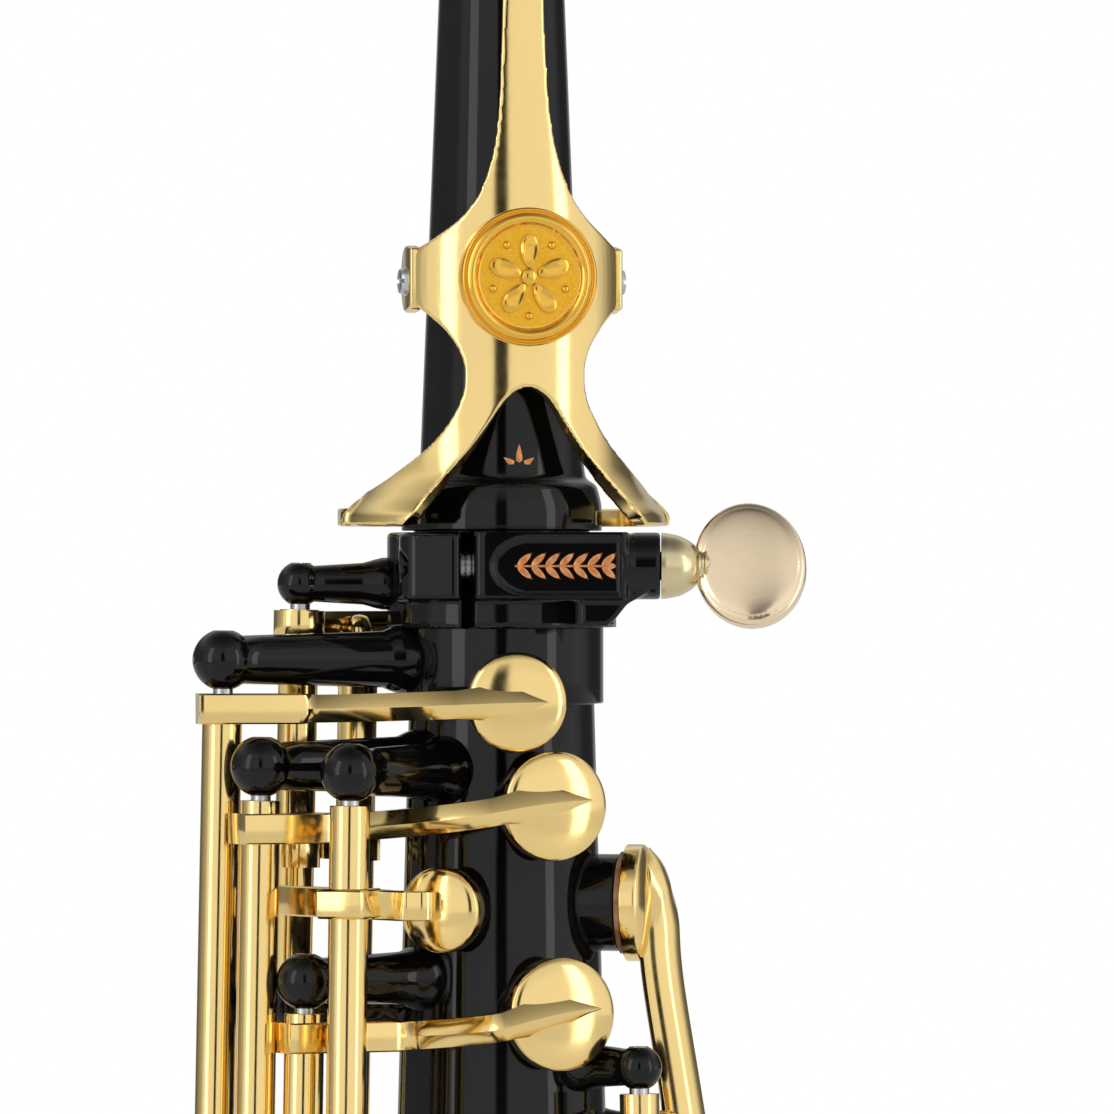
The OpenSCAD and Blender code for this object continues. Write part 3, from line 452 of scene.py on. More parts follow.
def finish_surface(obj, bevel_mm=0.15, weld=False):
    """Welds, rounds the sharp edges and smooths the shading, all with modifiers."""
    if weld:
        modifier = obj.modifiers.new("weld", "WELD")
        modifier.merge_threshold = 0.002 * MM
    if bevel_mm:
        modifier = obj.modifiers.new("bevel", "BEVEL")
        modifier.width = bevel_mm * MM
        modifier.segments = 2
        modifier.limit_method = "ANGLE"
        modifier.angle_limit = math.radians(40)
        modifier.use_clamp_overlap = True
    modifier = obj.modifiers.new("smooth", "NODES")
    modifier.node_group = SMOOTH


def piece(name, bm, body, slot, material=None, bevel_mm=0.15, replaces=()):
    """Makes an object from a bmesh in millimetres, riding on a body."""
    bmesh.ops.recalc_face_normals(bm, faces=bm.faces)
    mesh = bpy.data.meshes.new(name)
    bm.to_mesh(mesh)
    bm.free()
    mesh.transform(Matrix.Scale(MM, 4))
    obj = bpy.data.objects.new(name, mesh)
    COLLECTION.objects.link(obj)
    obj.data.materials.append(material or MATERIALS[slot])
    finish_surface(obj, bevel_mm)
    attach(obj, body)
    if replaces:
        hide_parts(*replaces)
    return obj


# ---- Sizes that the pieces share with the CAD, in millimetres ----

BELL_TOP, COLLAR_Z, CLAMP_Z, CLAMP_TOP = 52, 519.5, 527.2, 536.8
COLLAR_R, SOCKET_R, BARREL_R, WALL = 10.3, 8.95, 11.6, 0.8
SCREW_Y, SCREW_Z = -13, 533.4
NECK_PHI, PIVOT_Z, PIVOT_R, PIP_Z, NECK_TOP = 12.6, 562, 4.8, 606, 645
CUP_H, PAD_GAP = 3.4, 0.1

# Tone holes: angle, height, diameter of the cup, height of the rim
HOLES = {
    "high_g": (6.7, 519.8, 10, 2.2), "high_fsharp": (23, 509.4, 11, 2), "vent": (-25.6, 499, 8.6, 2),
    "palm_f": (80, 499.4, 11.8, 2.3), "high_e": (25, 488.6, 11.4, 2), "palm_eb": (114, 468, 11.8, 2),
    "palm_d": (151, 457.8, 12, 2), "c": (-4, 452, 11.5, 1.5), "b": (-2, 436, 13.5, 1.5),
    "a": (0, 415, 15.5, 1.5), "g": (0, 391, 18, 1.5), "side_c": (-128, 432, 13.5, 1.5),
    "side_bb": (-140, 408, 14.5, 1.5), "gsharp": (26, 366.5, 15, 1.5), "fsharp": (0, 339, 19, 1.5),
    "f": (0, 312, 21.5, 1.5), "e": (0, 280, 23, 1.5), "d": (0, 244, 25, 1.5),
    "eb": (-104, 214, 20, 1.5), "low_c": (-8, 188, 28, 1.5), "low_csharp": (58, 158, 26, 1.5),
    "low_b": (70, 121, 29, 1.5), "low_bb": (84, 84, 30, 1.5),
}


def body_r(z):
    return 9.4 + (518.8 - z) * 0.0275 + (22.133 * (1 - z / 80)**3 if z < 80 else 0)


def neck_r(z):
    return 8.3 - (z - 542.8) * 0.04 if z < 600 else 6.01 - (z - 600) * 0.02


def on_line(line, z):
    return at(line[0], line[1] + 0.02 * (515 - z), z)


def seat_r(hole):
    return body_r(hole[1]) + hole[3]


NECK = turned(z=NECK_PHI)

# Hinge lines: angle round the bore, and distance from its axis at 515 mm
LINES = {"high_g": (-70, 29.8), "high_fsharp": (-60, 27.6), "high_e": (-52.6, 24.1), "vent": (-38, 24.2)}
THUMB_LINE = (-108.7, 15.6)


# ---- Body tube and neck ----

def heights(low, high, step):
    count = max(1, round((high - low) / step))
    return [low + (high - low) * k / count for k in range(count + 1)]


def make_body_tube():
    outer = bmesh.new()
    wall = [(body_r(z), z) for z in heights(BELL_TOP, 80, 2) + heights(80, 516, 4)[1:]]
    collar = rounded([(body_r(517), 517), (body_r(COLLAR_Z), COLLAR_Z), (COLLAR_R, COLLAR_Z),
                      (COLLAR_R, CLAMP_Z), (0, CLAMP_Z)], [0.1, 0.2, 0.1])
    lathe(outer, [(0, BELL_TOP), *wall, *collar], segments=160)
    steps = []
    for phi, z, cup_d, rim in HOLES.values():
        chimney = bmesh.new()
        r, top = cup_d / 2 - 1, body_r(z) + rim
        lathe(chimney, [(0, body_r(z) * 0.55), *rounded([(r, body_r(z) * 0.55), (r, top), (0, top)], 0.25)],
              facing(phi, 0, z), 72)
        steps.append(("UNION", chimney))
    bore = bmesh.new()
    lathe(bore, [(0, BELL_TOP - 1), (body_r(BELL_TOP) - WALL, BELL_TOP - 1),
                 *[(body_r(z) - WALL, z) for z in heights(BELL_TOP, 80, 2) + heights(80, 526, 20)[1:]],
                 (SOCKET_R, 526), (SOCKET_R, 529), (0, 529)], segments=96)
    steps.append(("DIFFERENCE", bore))
    for name, (phi, z, cup_d, rim) in HOLES.items():
        hole = bmesh.new()
        r = 1 if name == "vent" else cup_d / 2 - 1.7
        top = body_r(z) + rim
        lathe(hole, [(0, body_r(z) * 0.3), (r, body_r(z) * 0.3), (r, top - 0.15), (r + 0.15, top),
                     (r + 0.15, top + 2), (0, top + 2)], facing(phi, 0, z), 64)
        steps.append(("DIFFERENCE", hole))
    piece("body_tube_turned", combine(outer, *steps), "body", "black_lacquer", bevel_mm=0,
          replaces=["body_tube", "lower_tube"])


def make_neck_tube():
    outer, pip, boss, bore = bmesh.new(), bmesh.new(), bmesh.new(), bmesh.new()
    dome = rounded([(SOCKET_R - 0.05, 526.1), (SOCKET_R - 0.05, 536.95), (10.15, 536.95), (10.15, 539.6),
                    (9.6, 541.6), (neck_r(542.2) + 0.2, 542.2), (neck_r(544), 544)],
                   [0.05, 0.2, 1.2, 0.6, 0.5], 6)
    taper = [(neck_r(z), z) for z in heights(546, 600, 6) + heights(600, NECK_TOP, 9)[1:]]
    lathe(outer, [(0, 526.1), *dome, *taper, (0, NECK_TOP)], NECK, 128)
    lathe(pip, [(0, 3), (2.5, 3), (2.5, 7.2), (2.3, 7.5), (0, 7.5)], NECK @ facing(0, 0, PIP_Z), 48)
    across = NECK @ Matrix.Translation((0, -PIVOT_R, PIVOT_Z)) @ turned(y=90)
    lathe(boss, [(0, -8.5), *rounded([(2.1, -8.5), (2.1, 8.5), (0, 8.5)], 0.2)], across, 48)
    lathe(bore, [(0, 525), (7.35, 525), (4.4, NECK_TOP + 1), (0, NECK_TOP + 1)], NECK, 64)
    steps = [("UNION", pip), ("UNION", boss), ("DIFFERENCE", bore)]
    vent = bmesh.new()
    lathe(vent, [(0, 2), (0.8, 2), (0.8, 14), (0, 14)], NECK @ facing(0, 0, PIP_Z), 24)
    steps.append(("DIFFERENCE", vent))
    for side in (-1, 1):
        socket = bmesh.new()
        lathe(socket, [(0, 7.1), (1.05, 7.1), (1.05, 10), (0, 10)],
              NECK @ Matrix.Translation((0, -PIVOT_R, PIVOT_Z)) @ turned(y=90 * side), 24)
        steps.append(("DIFFERENCE", socket))
    piece("neck_tube_turned", combine(outer, *steps), "neck", "black_lacquer", bevel_mm=0,
          replaces=["neck_tube"])


# ---- Neck clamp, its plate and its screw ----

ALONG_X = Matrix.Translation((0, SCREW_Y, SCREW_Z)) @ turned(y=90)
PLATE_Y = -16.2
PLATE_DEPTH = 0.35


SLIT = (-3.95, -2.7)
HEAD_HALF_WIDTH, HEAD_HALF_HEIGHT = 5.6, 6.5


def plate_outline():
    """The name plate's sunk panel, as (x, height): square on the right and rounded on the left."""
    left, right, half = 3.4, 12.0, 2.95
    bulge, steps = 4.3, 32
    turns = [math.pi * k / steps for k in range(steps + 1)]
    round_end = [(left - bulge * math.sin(a), half * math.cos(a)) for a in turns]
    return [(right, -half), (right, half), *round_end]


def make_neck_clamp():
    barrel, plate, lug, boss, web = (bmesh.new() for _ in range(5))
    wall = rounded([(BARREL_R, CLAMP_Z), (BARREL_R, CLAMP_TOP), (0, CLAMP_TOP)], 0.5)
    lathe(barrel, [(0, CLAMP_Z), *wall], segments=128)
    bar = rounded([(SLIT[1], -6), (SLIT[1], PLATE_Y), (12.6, PLATE_Y), (12.6, -6)], [1.1, 0.3], 6)
    prism(plate, [(p[0], p[1]) for p in bar], CLAMP_TOP - 530.1, Matrix.Translation((0, 0, 530.1)))
    left = rounded([(SLIT[0], -6), (SLIT[0], -15.7), (-10.0, -15.1), (-10.6, -5)], [0.9, 2.4], 8)
    prism(lug, [(p[0], p[1]) for p in left], CLAMP_TOP - 530.3, Matrix.Translation((0, 0, 530.1)))
    lathe(boss, [(0, 8), (3.35, 8), (3.35, 12.6), (3.2, 12.75), (3.2, 13.0), (3.35, 13.15),
                 *rounded([(3.35, 13.4), (3.35, 15.9), (0, 15.9)], 0.15)], ALONG_X, 64)
    slope = [(8, 527.4), (10.6, 527.4), (11.5, 528.2), (12.6, 529.6), (14.4, 530.6), (14.4, 532), (8, 532)]
    prism(web, slope, 6.5, Matrix.Translation((0, -9, 0)) @ turned(x=90))
    steps = [("UNION", t) for t in (plate, lug, boss, web)]
    socket, slot, panel, hole = (bmesh.new() for _ in range(4))
    lathe(socket, [(0, 520), (SOCKET_R, 520), (SOCKET_R, 545), (0, 545)], segments=96)
    box(slot, (SLIT[0], -20, 526), (SLIT[1], -4, 546))
    prism(panel, plate_outline(), 1, Matrix.Translation((0, PLATE_Y + PLATE_DEPTH, SCREW_Z)) @ turned(x=90))
    lathe(hole, [(0, -20), (1.55, -20), (1.55, 30), (0, 30)], ALONG_X, 32)
    steps += [("DIFFERENCE", t) for t in (socket, slot, panel, hole)]
    piece("neck_clamp_cast", cast(combine(barrel, *steps), 0.2, 4), "body", "black_lacquer", bevel_mm=0,
          replaces=["neck_clamp"])


def leaf(bm, root, length, width, lean, place, thick=0.12):
    """A small pointed leaf with a raised midrib, laid on place's XY plane."""
    steps = 10
    c, n = math.cos(math.radians(lean)), math.sin(math.radians(lean))
    path = [place @ Vector((root[0] + n * length * k / steps, root[1] + c * length * k / steps, 0))
            for k in range(steps + 1)]
    out = (place.to_3x3() @ Vector((0, 0, 1))).normalized()
    widths = [0.05 + width * math.sin(math.pi * (k / steps)**0.8) for k in range(steps + 1)]
    sweep(bm, path, out, [[(-w / 2, -0.05), (w / 2, -0.05), (w / 2, thick * 0.5), (0, thick),
                           (-w / 2, thick * 0.5)] for w in widths])


def make_plate_ornament():
    """A border of leaf sprigs inlaid in the plate's panel, and a small one on the neck."""
    bm = bmesh.new()
    panel = Matrix.Translation((0, PLATE_Y + PLATE_DEPTH, SCREW_Z)) @ turned(x=90)
    stem = [(0.13 * math.cos(t), 0.1 * math.sin(t)) for t in [2 * math.pi * k / 8 for k in range(8)]]
    first, last, pairs = 1.4, 10.6, 7
    sweep(bm, [panel @ Vector((mix(first, last, k / 20), 0, 0.04)) for k in range(21)], Vector((0, -1, 0)),
          [stem] * 21)
    for k in range(pairs):
        x = mix(first + 0.25, last - 0.55, k / (pairs - 1))
        for lean in (48, 132):
            leaf(bm, (x, 0), 2.0, 0.62, lean, panel, 0.16)
    leaf(bm, (last - 0.2, 0), 1.2, 0.55, 90, panel, 0.16)
    piece("plate_ornament", bm, "body", "pale_gold", COPPER, bevel_mm=0)
    bm = bmesh.new()
    for lean, length in ((0, 2.4), (55, 1.9), (-55, 1.9)):
        leaf(bm, (0, 0), length, 0.6, lean, NECK @ facing(0, neck_r(544.6) - 0.02, 543.2), 0.08)
    piece("neck_ornament", bm, "neck", "pale_gold", COPPER, bevel_mm=0)


def make_clamp_screw():
    shank = bmesh.new()
    pitch, low, high = 0.5, -8.0, 16.4
    ridges = [(1.22 if k % 2 else 1.46, low + pitch * k / 2) for k in range(int((high - low) / pitch * 2))]
    lathe(shank, [(0, -8.6), (1.1, -8.6), *ridges, (1.4, high), (0, high)], ALONG_X, 40)
    piece("clamp_screw_shank", shank, "clamp_screw", "steel", bevel_mm=0)
    bm = bmesh.new()
    shoulder = rounded([(3.3, 16.02), (3.28, 16.5), (3.0, 18), (2.2, 19.3), (1.45, 19.8), (1.4, 20.2),
                        (1.75, 20.5), (0, 20.8)], [0.1, 0.8, 0.9, 0.2, 0.2, 0.2], 6)
    lathe(bm, [(0, 16.02), *shoulder], ALONG_X, 96)
    piece("clamp_screw_shoulder", bm, "clamp_screw", "pale_gold", CHAMPAGNE, bevel_mm=0)
    head, root = bmesh.new(), bmesh.new()
    place = Matrix.Translation((24.9, SCREW_Y, SCREW_Z)) @ turned(y=-9) @ turned(x=70)
    turns = [math.pi / 2 * k / 10 for k in range(10)]
    crown = [(0.88 * math.cos(a), 1.05 + 0.5 * math.sin(a)) for a in turns]
    edge = rounded([(0.9, -1.1), (1, -0.7), (1, 0.7), (0.93, 1.02), (0.88, 1.05)], 0.15)
    rim = [(0, -1.1), *edge, *crown[1:], (0, 1.55)]
    lathe(head, rim, place @ Matrix.Diagonal((HEAD_HALF_WIDTH, HEAD_HALF_HEIGHT, 1, 1)), 96)
    lathe(root, [(0, 19.5), (1.4, 19.5), (1.2, 20.6), (0.95, 21.6), (0.6, 22.4), (0, 22.6)], ALONG_X, 64)
    piece("clamp_screw_head", cast(combine(head, ("UNION", root)), 0.11, 8), "clamp_screw", "pale_gold",
          bevel_mm=0, replaces=["clamp_screw"])


# ---- Neck octave key ----

# The sheet's outline at each height: its outer edge, the edge of the fork's gap, and how far the
# sheet stands from the neck's axis
KEY_OUTER = [(537.4, 16.8), (538.9, 16.6), (542.6, 12.5), (545.8, 9.1), (549.2, 6.9), (552, 6.2), (554.4, 6.5),
             (556.6, 7.7), (558.5, 9.4), (559.3, 10.3), (560.2, 10.6), (564.4, 10.6), (565.3, 10.3),
             (565.9, 9.4), (568.4, 6.4), (571.2, 4.5), (577, 2.9), (588, 2.2), (604, 1.8), (606, 1.8)]
KEY_INNER = [(537.4, 12.6), (539.6, 10.9), (542.3, 8.4), (544.9, 6), (547.6, 4.0), (549.9, 2.4), (550.8, 1.35),
             (551.15, 0.6), (551.25, 0), (552, 0)]
KEY_SHELL = [(537.4, 16.6), (538.6, 16.5), (540.2, 15.2), (543, 13.6), (547, 12.75), (552, 12.6), (566, 12.6),
             (572, 12), (581, 10.9), (590, 10.5), (606, 10.9)]
KEY_THICK = 1.5
EAR_X, EAR_THICK = 10.3, 1.3


def make_octave_key():
    bm = bmesh.new()
    rows = heights(537.4, 549.6, 0.35) + heights(549.75, 551.25, 0.1) + heights(551.6, 606, 0.4)
    columns = 18
    for side in (-1, 1):
        grid = []
        for z in rows:
            r = smooth_lookup(KEY_SHELL, z)
            inner, outer = smooth_lookup(KEY_INNER, z) if z < 551.25 else 0, smooth_lookup(KEY_OUTER, z)
            line = []
            for k in range(columns + 1):
                x = mix(inner, outer, k / columns)
                depth = math.sqrt(max(r * r - min(x, r * 0.985)**2, 0))
                line.append(bm.verts.new(NECK @ Vector((side * x, -depth, z))))
            grid.append(line)
        for a, b in zip(grid, grid[1:]):
            for k in range(columns):
                if side > 0:
                    bm.faces.new((a[k], a[k + 1], b[k + 1], b[k]))
                else:
                    bm.faces.new((a[k], b[k], b[k + 1], a[k + 1]))
    bmesh.ops.remove_doubles(bm, verts=bm.verts, dist=0.01)
    obj = as_object(bm, solid=False)
    modifier = obj.modifiers.new("sheet", "SOLIDIFY")
    modifier.thickness = KEY_THICK
    modifier.offset = -1
    bm = cast(take_mesh(obj), 0.17, 7)
    half = [math.pi * k / 48 for k in range(49)]
    ring = rounded([(14.6, 537.4), (16.6, 537.4), (16.6, 539.2), (14.6, 539.2), (14.6, 537.4)], 0.3)[:-1]
    stops = []
    for a in half:
        turn = NECK @ Matrix.Rotation(a, 4, "Z")
        stops.append([bm.verts.new(turn @ Vector((r, 0, z))) for r, z in ring])
    for a, b in zip(stops, stops[1:]):
        for k in range(len(ring)):
            bm.faces.new((a[k], a[(k + 1) % len(ring)], b[(k + 1) % len(ring)], b[k]))
    bm.faces.new(stops[0])
    bm.faces.new(stops[-1])
    for side in (-1, 1):
        ear = rounded([(7.2, 559.2), (3.4, 558.6), (2.0, 562.2), (3.4, 565.8), (7.2, 565.3)],
                      [2.2, 2.6, 2.2], 8)
        place = NECK @ Matrix.Translation((side * EAR_X - EAR_THICK / 2, 0, 0)) @ Matrix(
            ((0, 0, 1, 0), (-1, 0, 0, 0), (0, 1, 0, 0), (0, 0, 0, 1)))
        edge = bmesh.new()
        prism(edge, [(p[0], p[1]) for p in ear], EAR_THICK, place)
        ear_obj = as_object(edge)
        modifier = ear_obj.modifiers.new("edge", "BEVEL")
        modifier.width = 0.3
        modifier.segments = 3
        ear_bm = take_mesh(ear_obj)
        mesh = bpy.data.meshes.new("ear")
        ear_bm.to_mesh(mesh)
        ear_bm.free()
        bm.from_mesh(mesh)
    pip = NECK @ facing(0, neck_r(PIP_Z), PIP_Z)
    lathe(bm, [(0, 3.45), (3.4, 3.45), (3.4, 2.1), (4.1, 2.1),
               *rounded([(4.1, 2.1), (4.1, 4.2), (3.2, 5.0), (0, 5.0)], 0.4)], pip, 64)
    piece("octave_key_sheet", bm, "neck_octave_key", "gold_lacquer", bevel_mm=0,
          replaces=["neck_octave_key"])


def make_medallion():
    """A round button with a raised blossom on a satin ground."""
    place = NECK @ facing(0, 11.35, 562.3)
    rim = bmesh.new()
    edge = rounded([(6.95, 0.3), (6.95, 1.7), (6.75, 1.95), (6.5, 1.65), (6.35, 1.9), (5.9, 2.2),
                    (5.45, 1.95), (5.2, 1.62), (5.0, 1.6)], [0.2, 0.15, 0.12, 0.2, 0.4, 0.3, 0.1], 5)
    lathe(rim, [(0, 0.2), (6.95, 0.2), *edge, (5.0, 1.2), (0, 1.2)], place, 128)
    rim.faces.ensure_lookup_table()
    for k in range(5):
        turn = place @ turned(z=90 + 72 * k)
        outline = []
        for i in range(24):
            a = 2 * math.pi * i / 24
            outline.append((2.55 + 1.75 * math.cos(a), (0.95 + 0.25 * math.cos(a)) * math.sin(a)))
        levels = [(1.0, 1.55), (0.94, 1.92), (0.72, 2.08), (0.4, 2.0)]
        rings = [[rim.verts.new(turn @ Vector((2.55 + (x - 2.55) * s, y * s, h))) for x, y in outline]
                 for s, h in levels]
        for a, b in zip(rings, rings[1:]):
            for i in range(24):
                rim.faces.new((a[i], a[(i + 1) % 24], b[(i + 1) % 24], b[i]))
        rim.faces.new(rings[0][::-1])
        rim.faces.new(rings[-1])
        bead = place @ turned(z=126 + 72 * k) @ Matrix.Translation((3.9, 0, 1.6))
        lathe(rim, [(0, -0.1), (0.42, 0), (0.36, 0.25), (0.2, 0.38), (0, 0.42)], bead, 20)
    lathe(rim, [(0, 1.5), (0.85, 1.6), (0.8, 2.0), (0.5, 2.2), (0, 2.25)], place, 32)
    piece("medallion_relief", rim, "neck_octave_key", "deep_gold", bevel_mm=0, replaces=["key_medallion"])
    ground = bmesh.new()
    lathe(ground, [(0, 1.25), (5.05, 1.25), (5.05, 1.6), (3.5, 1.62), (0, 1.63)], place, 96)
    piece("medallion_ground", ground, "neck_octave_key", "deep_gold", SATIN_GOLD, bevel_mm=0)
    cap = bmesh.new()
    lathe(cap, [(0, 526), *rounded([(1.4, 526), (1.4, 527.2), (0.9, 528.3), (0, 528.5)], 0.5)],
          Matrix.Translation((on_line(THUMB_LINE, 527).x, on_line(THUMB_LINE, 527).y, 0)), 40)
    piece("thumb_rod_cap", cap, "body", "gold_lacquer", bevel_mm=0)


# ---- High keys in front: hinge tube, forged arm, cup and pad ----

def bored_tube(bm, line, low, high, r=2.0, bore=1.05):
    a, b = on_line(line, low), on_line(line, high)
    place = Matrix.Translation(a) @ (b - a).to_track_quat("Z", "Y").to_matrix().to_4x4()
    length = (b - a).length
    lathe(bm, rounded([(bore, 0), (r, 0), (r, length), (bore, length), (bore, 0)], 0.12)[:-1], place, 48)


def forged_arm(bm, line, z, hole, block, width=2.8, spear=3.5, past=0.3, droop=0.0):
    """A square block on the hinge tube that turns into a ridged arm and ends in a spear over the cup."""
    out = at(hole[0], 1, 0)
    side = Vector((-out.y, out.x, 0))
    foot = on_line(line, z)
    s0, o0 = foot.dot(side), foot.dot(out)
    s_end, o_end = hole[2] * past, seat_r(hole) + CUP_H + 0.9
    start = s0 - 2.5
    edge = -hole[2] / 2 - 1
    steps = 60
    path, sections = [], []
    for i in range(steps + 1):
        s = mix(start, s_end, i / steps)
        run = max(0, (s - s0 - block) / (s_end - s0 - block))
        rise = ease(min(1, max(0, (s - s0 - block) / (edge - s0 - block))))
        front = mix(o0 + 2.4, o_end, rise)
        height = mix(z, hole[1] + droop, ease(run))
        path.append(side * s + out * front + Vector((0, 0, height)))
        over = (s - edge) / (s_end - edge)
        if over <= 0:
            w = lookup([(0, 3.05), (block, 3.05), (block + 0.9, width)], s - s0)
            deep = lookup([(0, 4.8), (block, 4.8), (block + 1.4, 2.2)], s - s0)
        else:
            w = smooth_lookup([(0, width), (0.4, spear), (0.6, spear * 0.86), (0.85, spear * 0.32),
                               (1, 0.05)], over)
            deep = mix(2.2, 0.7, over)
        roof = min(1, max(0, (s - s0 - block) / 0.9))
        shoulder = -0.42 * w * roof
        h = w / 2
        lip = 0.16 * (1 - roof)
        sections.append([(-h, -deep), (h, -deep), (h, shoulder - lip), (h - lip, shoulder), (0, 0),
                         (-h + lip, shoulder), (-h, shoulder - lip)])
    sweep(bm, path, out, sections)


def cup_and_pad(bm, hole):
    r = hole[2] / 2
    place = facing(hole[0], seat_r(hole), hole[1])
    crown = [(r * math.sin(a), 2.2 + (CUP_H - 2.2) * math.cos(a)) for a in
             [math.pi / 2 * k / 14 for k in range(13, 0, -1)]]
    lathe(bm, [(0, 1.86), (r - 0.7, 1.86), (r - 0.7, 0.75), (r - 0.62, 0.7), (r - 0.08, 0.7), (r, 0.78),
               (r, 2.1), *crown, (0, CUP_H)], place, 96)
    pad = bmesh.new()
    lathe(pad, [(0, PAD_GAP), *rounded([(r - 0.75, PAD_GAP), (r - 0.75, 1.8), (0, 1.8)], 0.35)], place, 64)
    return pad


def side_touch(bm, line, z, phi, r, length=24, width=8):
    foot, centre = on_line(line, z), at(phi, r, z)
    out = Vector((centre.x, centre.y, 0)).normalized()
    steps = 12
    sweep(bm, [foot.lerp(centre, i / steps) for i in range(steps + 1)], out,
          [[(-2, -0.9), (2, -0.9), (2, 0.2), (1.2, 0.9), (-1.2, 0.9), (-2, 0.2)]] * (steps + 1))
    path, sections = [], []
    steps = 40
    for i in range(steps + 1):
        t = i / steps - 0.5
        path.append(centre + Vector((0, 0, length * t)) - out * 6 * t * t)
        w = 1 + (width - 1) * math.sin(math.radians(15 + 150 * i / steps))**0.7
        ends = min(1, 4 * min(i, steps - i) / steps + 0.25)
        sections.append([(w / 2 * math.cos(a), 0.95 * ends * math.sin(a) + 0.25 * math.cos(a)**2)
                         for a in [2 * math.pi * (k + 0.5) / 16 for k in range(16)]])
    sweep(bm, path, out, sections)


def make_high_key(name, z, low, high, block, touch, droop=0.0, width=2.8):
    line, hole, node = LINES[name], HOLES[name], name + "_key"
    bm = bmesh.new()
    bored_tube(bm, line, low, high)
    forged_arm(bm, line, z, hole, block, width=width, droop=droop)
    side_touch(bm, line, *touch)
    pad = cup_and_pad(bm, hole)
    piece(name + "_key_forged", bm, node, "gold_lacquer", bevel_mm=0.1, replaces=[node])
    piece(name + "_pad", pad, node, "leather", bevel_mm=0)


def make_vent_key():
    """The octave vent's key: a square collar on the tube, a flat bar to the cup and a tail for the felt."""
    line, hole, z = LINES["vent"], HOLES["vent"], 499.9
    bm = bmesh.new()
    bored_tube(bm, line, 443.3, 509.6)
    foot, cup = on_line(line, z), at(hole[0], seat_r(hole) + CUP_H + 0.4, z - 0.4)
    collar = [(-1.5, -2.5), (1.5, -2.5), (1.5, 2.2), (1.2, 2.6), (-1.2, 2.6), (-1.5, 2.2)]
    out = at(-22, 1, 0)
    side = Vector((-out.y, out.x, 0))
    sweep(bm, [foot - side * 2.6, foot - side * 2.3, foot + side * 2.3, foot + side * 2.6], out,
          [[(a * k, o * k) for a, o in collar] for k in (0.86, 1, 1, 0.86)])
    flat = [(-1.5, -0.75), (1.5, -0.75), (1.5, 0.6), (1.35, 0.75), (-1.35, 0.75), (-1.5, 0.6)]
    path = rounded([foot + side * 1.5, cup - side * 3.0 + out * 1.2, cup - side * 0.5 + out * 0.9,
                    cup - side * 0.3 - out * 1.2], [1.2, 0.5], 6)
    sweep(bm, path, at(-4, 1, 0), [flat] * len(path))
    tail = Vector((-22.2, -8.6, z))
    sweep(bm, [foot.lerp(tail, k / 8) for k in range(9)], at(-40, 1, 0), [flat] * 9)
    pad = cup_and_pad(bm, hole)
    piece("octave_vent_key_forged", bm, "octave_vent_key", "gold_lacquer", bevel_mm=0.1,
          replaces=["octave_vent_key"])
    piece("octave_vent_pad", pad, "octave_vent_key", "leather", bevel_mm=0)


def make_palm_key(name, fulcrum_z, end_z, twist=20):
    hole = HOLES[name]
    phi, z = hole[0], hole[1]
    top, fulcrum = seat_r(hole) + CUP_H + 0.3, body_r(fulcrum_z) + 6.4
    stops = [(top - 1.2, z + 5.4), (top - 0.1, z + 2.8), (top + 0.2, z - 1.5), (top + 0.7, z - 8),
             (fulcrum + 2, fulcrum_z), (fulcrum + 3.4, end_z + 10), (fulcrum + 6.4, end_z),
             (fulcrum + 5.4, end_z - 8)]
    bm = bmesh.new()
    path, outs, sections = [], [], []
    steps = 72
    for k in range(steps + 1):
        t = k / steps
        place = t * (len(stops) - 1)
        path.append(at(phi, *[smooth_lookup([(i, p[axis]) for i, p in enumerate(stops)], place)
                              for axis in (0, 1)]))
        outs.append(at(phi - mix(10, twist, ease(min(1, max(0, (t - 0.12) / 0.2)))), 1, 0))
        w = smooth_lookup([(0, 1.8), (0.08, 3.4), (0.25, 4.3), (0.6, 4.6), (0.72, 6.4), (0.86, 8.4), (0.96, 6),
                           (1, 2.5)], t)
        thick = min(0.9, 0.3 + 3 * t)
        h, ridge = w / 2, thick * (1 + 0.35 * (t < 0.62))
        sections.append([(-h + 0.2, -thick), (h - 0.2, -thick), (h, -thick * 0.6), (h, thick * 0.3),
                         (h * 0.35, ridge), (0, ridge + 0.05), (-h * 0.35, ridge), (-h, thick * 0.3),
                         (-h, -thick * 0.6)])
    sweep(bm, path, outs, sections)
    across = Matrix.Translation(at(phi, fulcrum, fulcrum_z)) @ turned(z=phi) @ turned(y=90)
    lathe(bm, rounded([(1.05, -3), (2, -3), (2, 3), (1.05, 3), (1.05, -3)], 0.15)[:-1], across, 40)
    pad = cup_and_pad(bm, hole)
    piece(name + "_key_forged", bm, name + "_key", "gold_lacquer", bevel_mm=0.08, replaces=[name + "_key"])
    piece(name + "_pad", pad, name + "_key", "leather", bevel_mm=0)


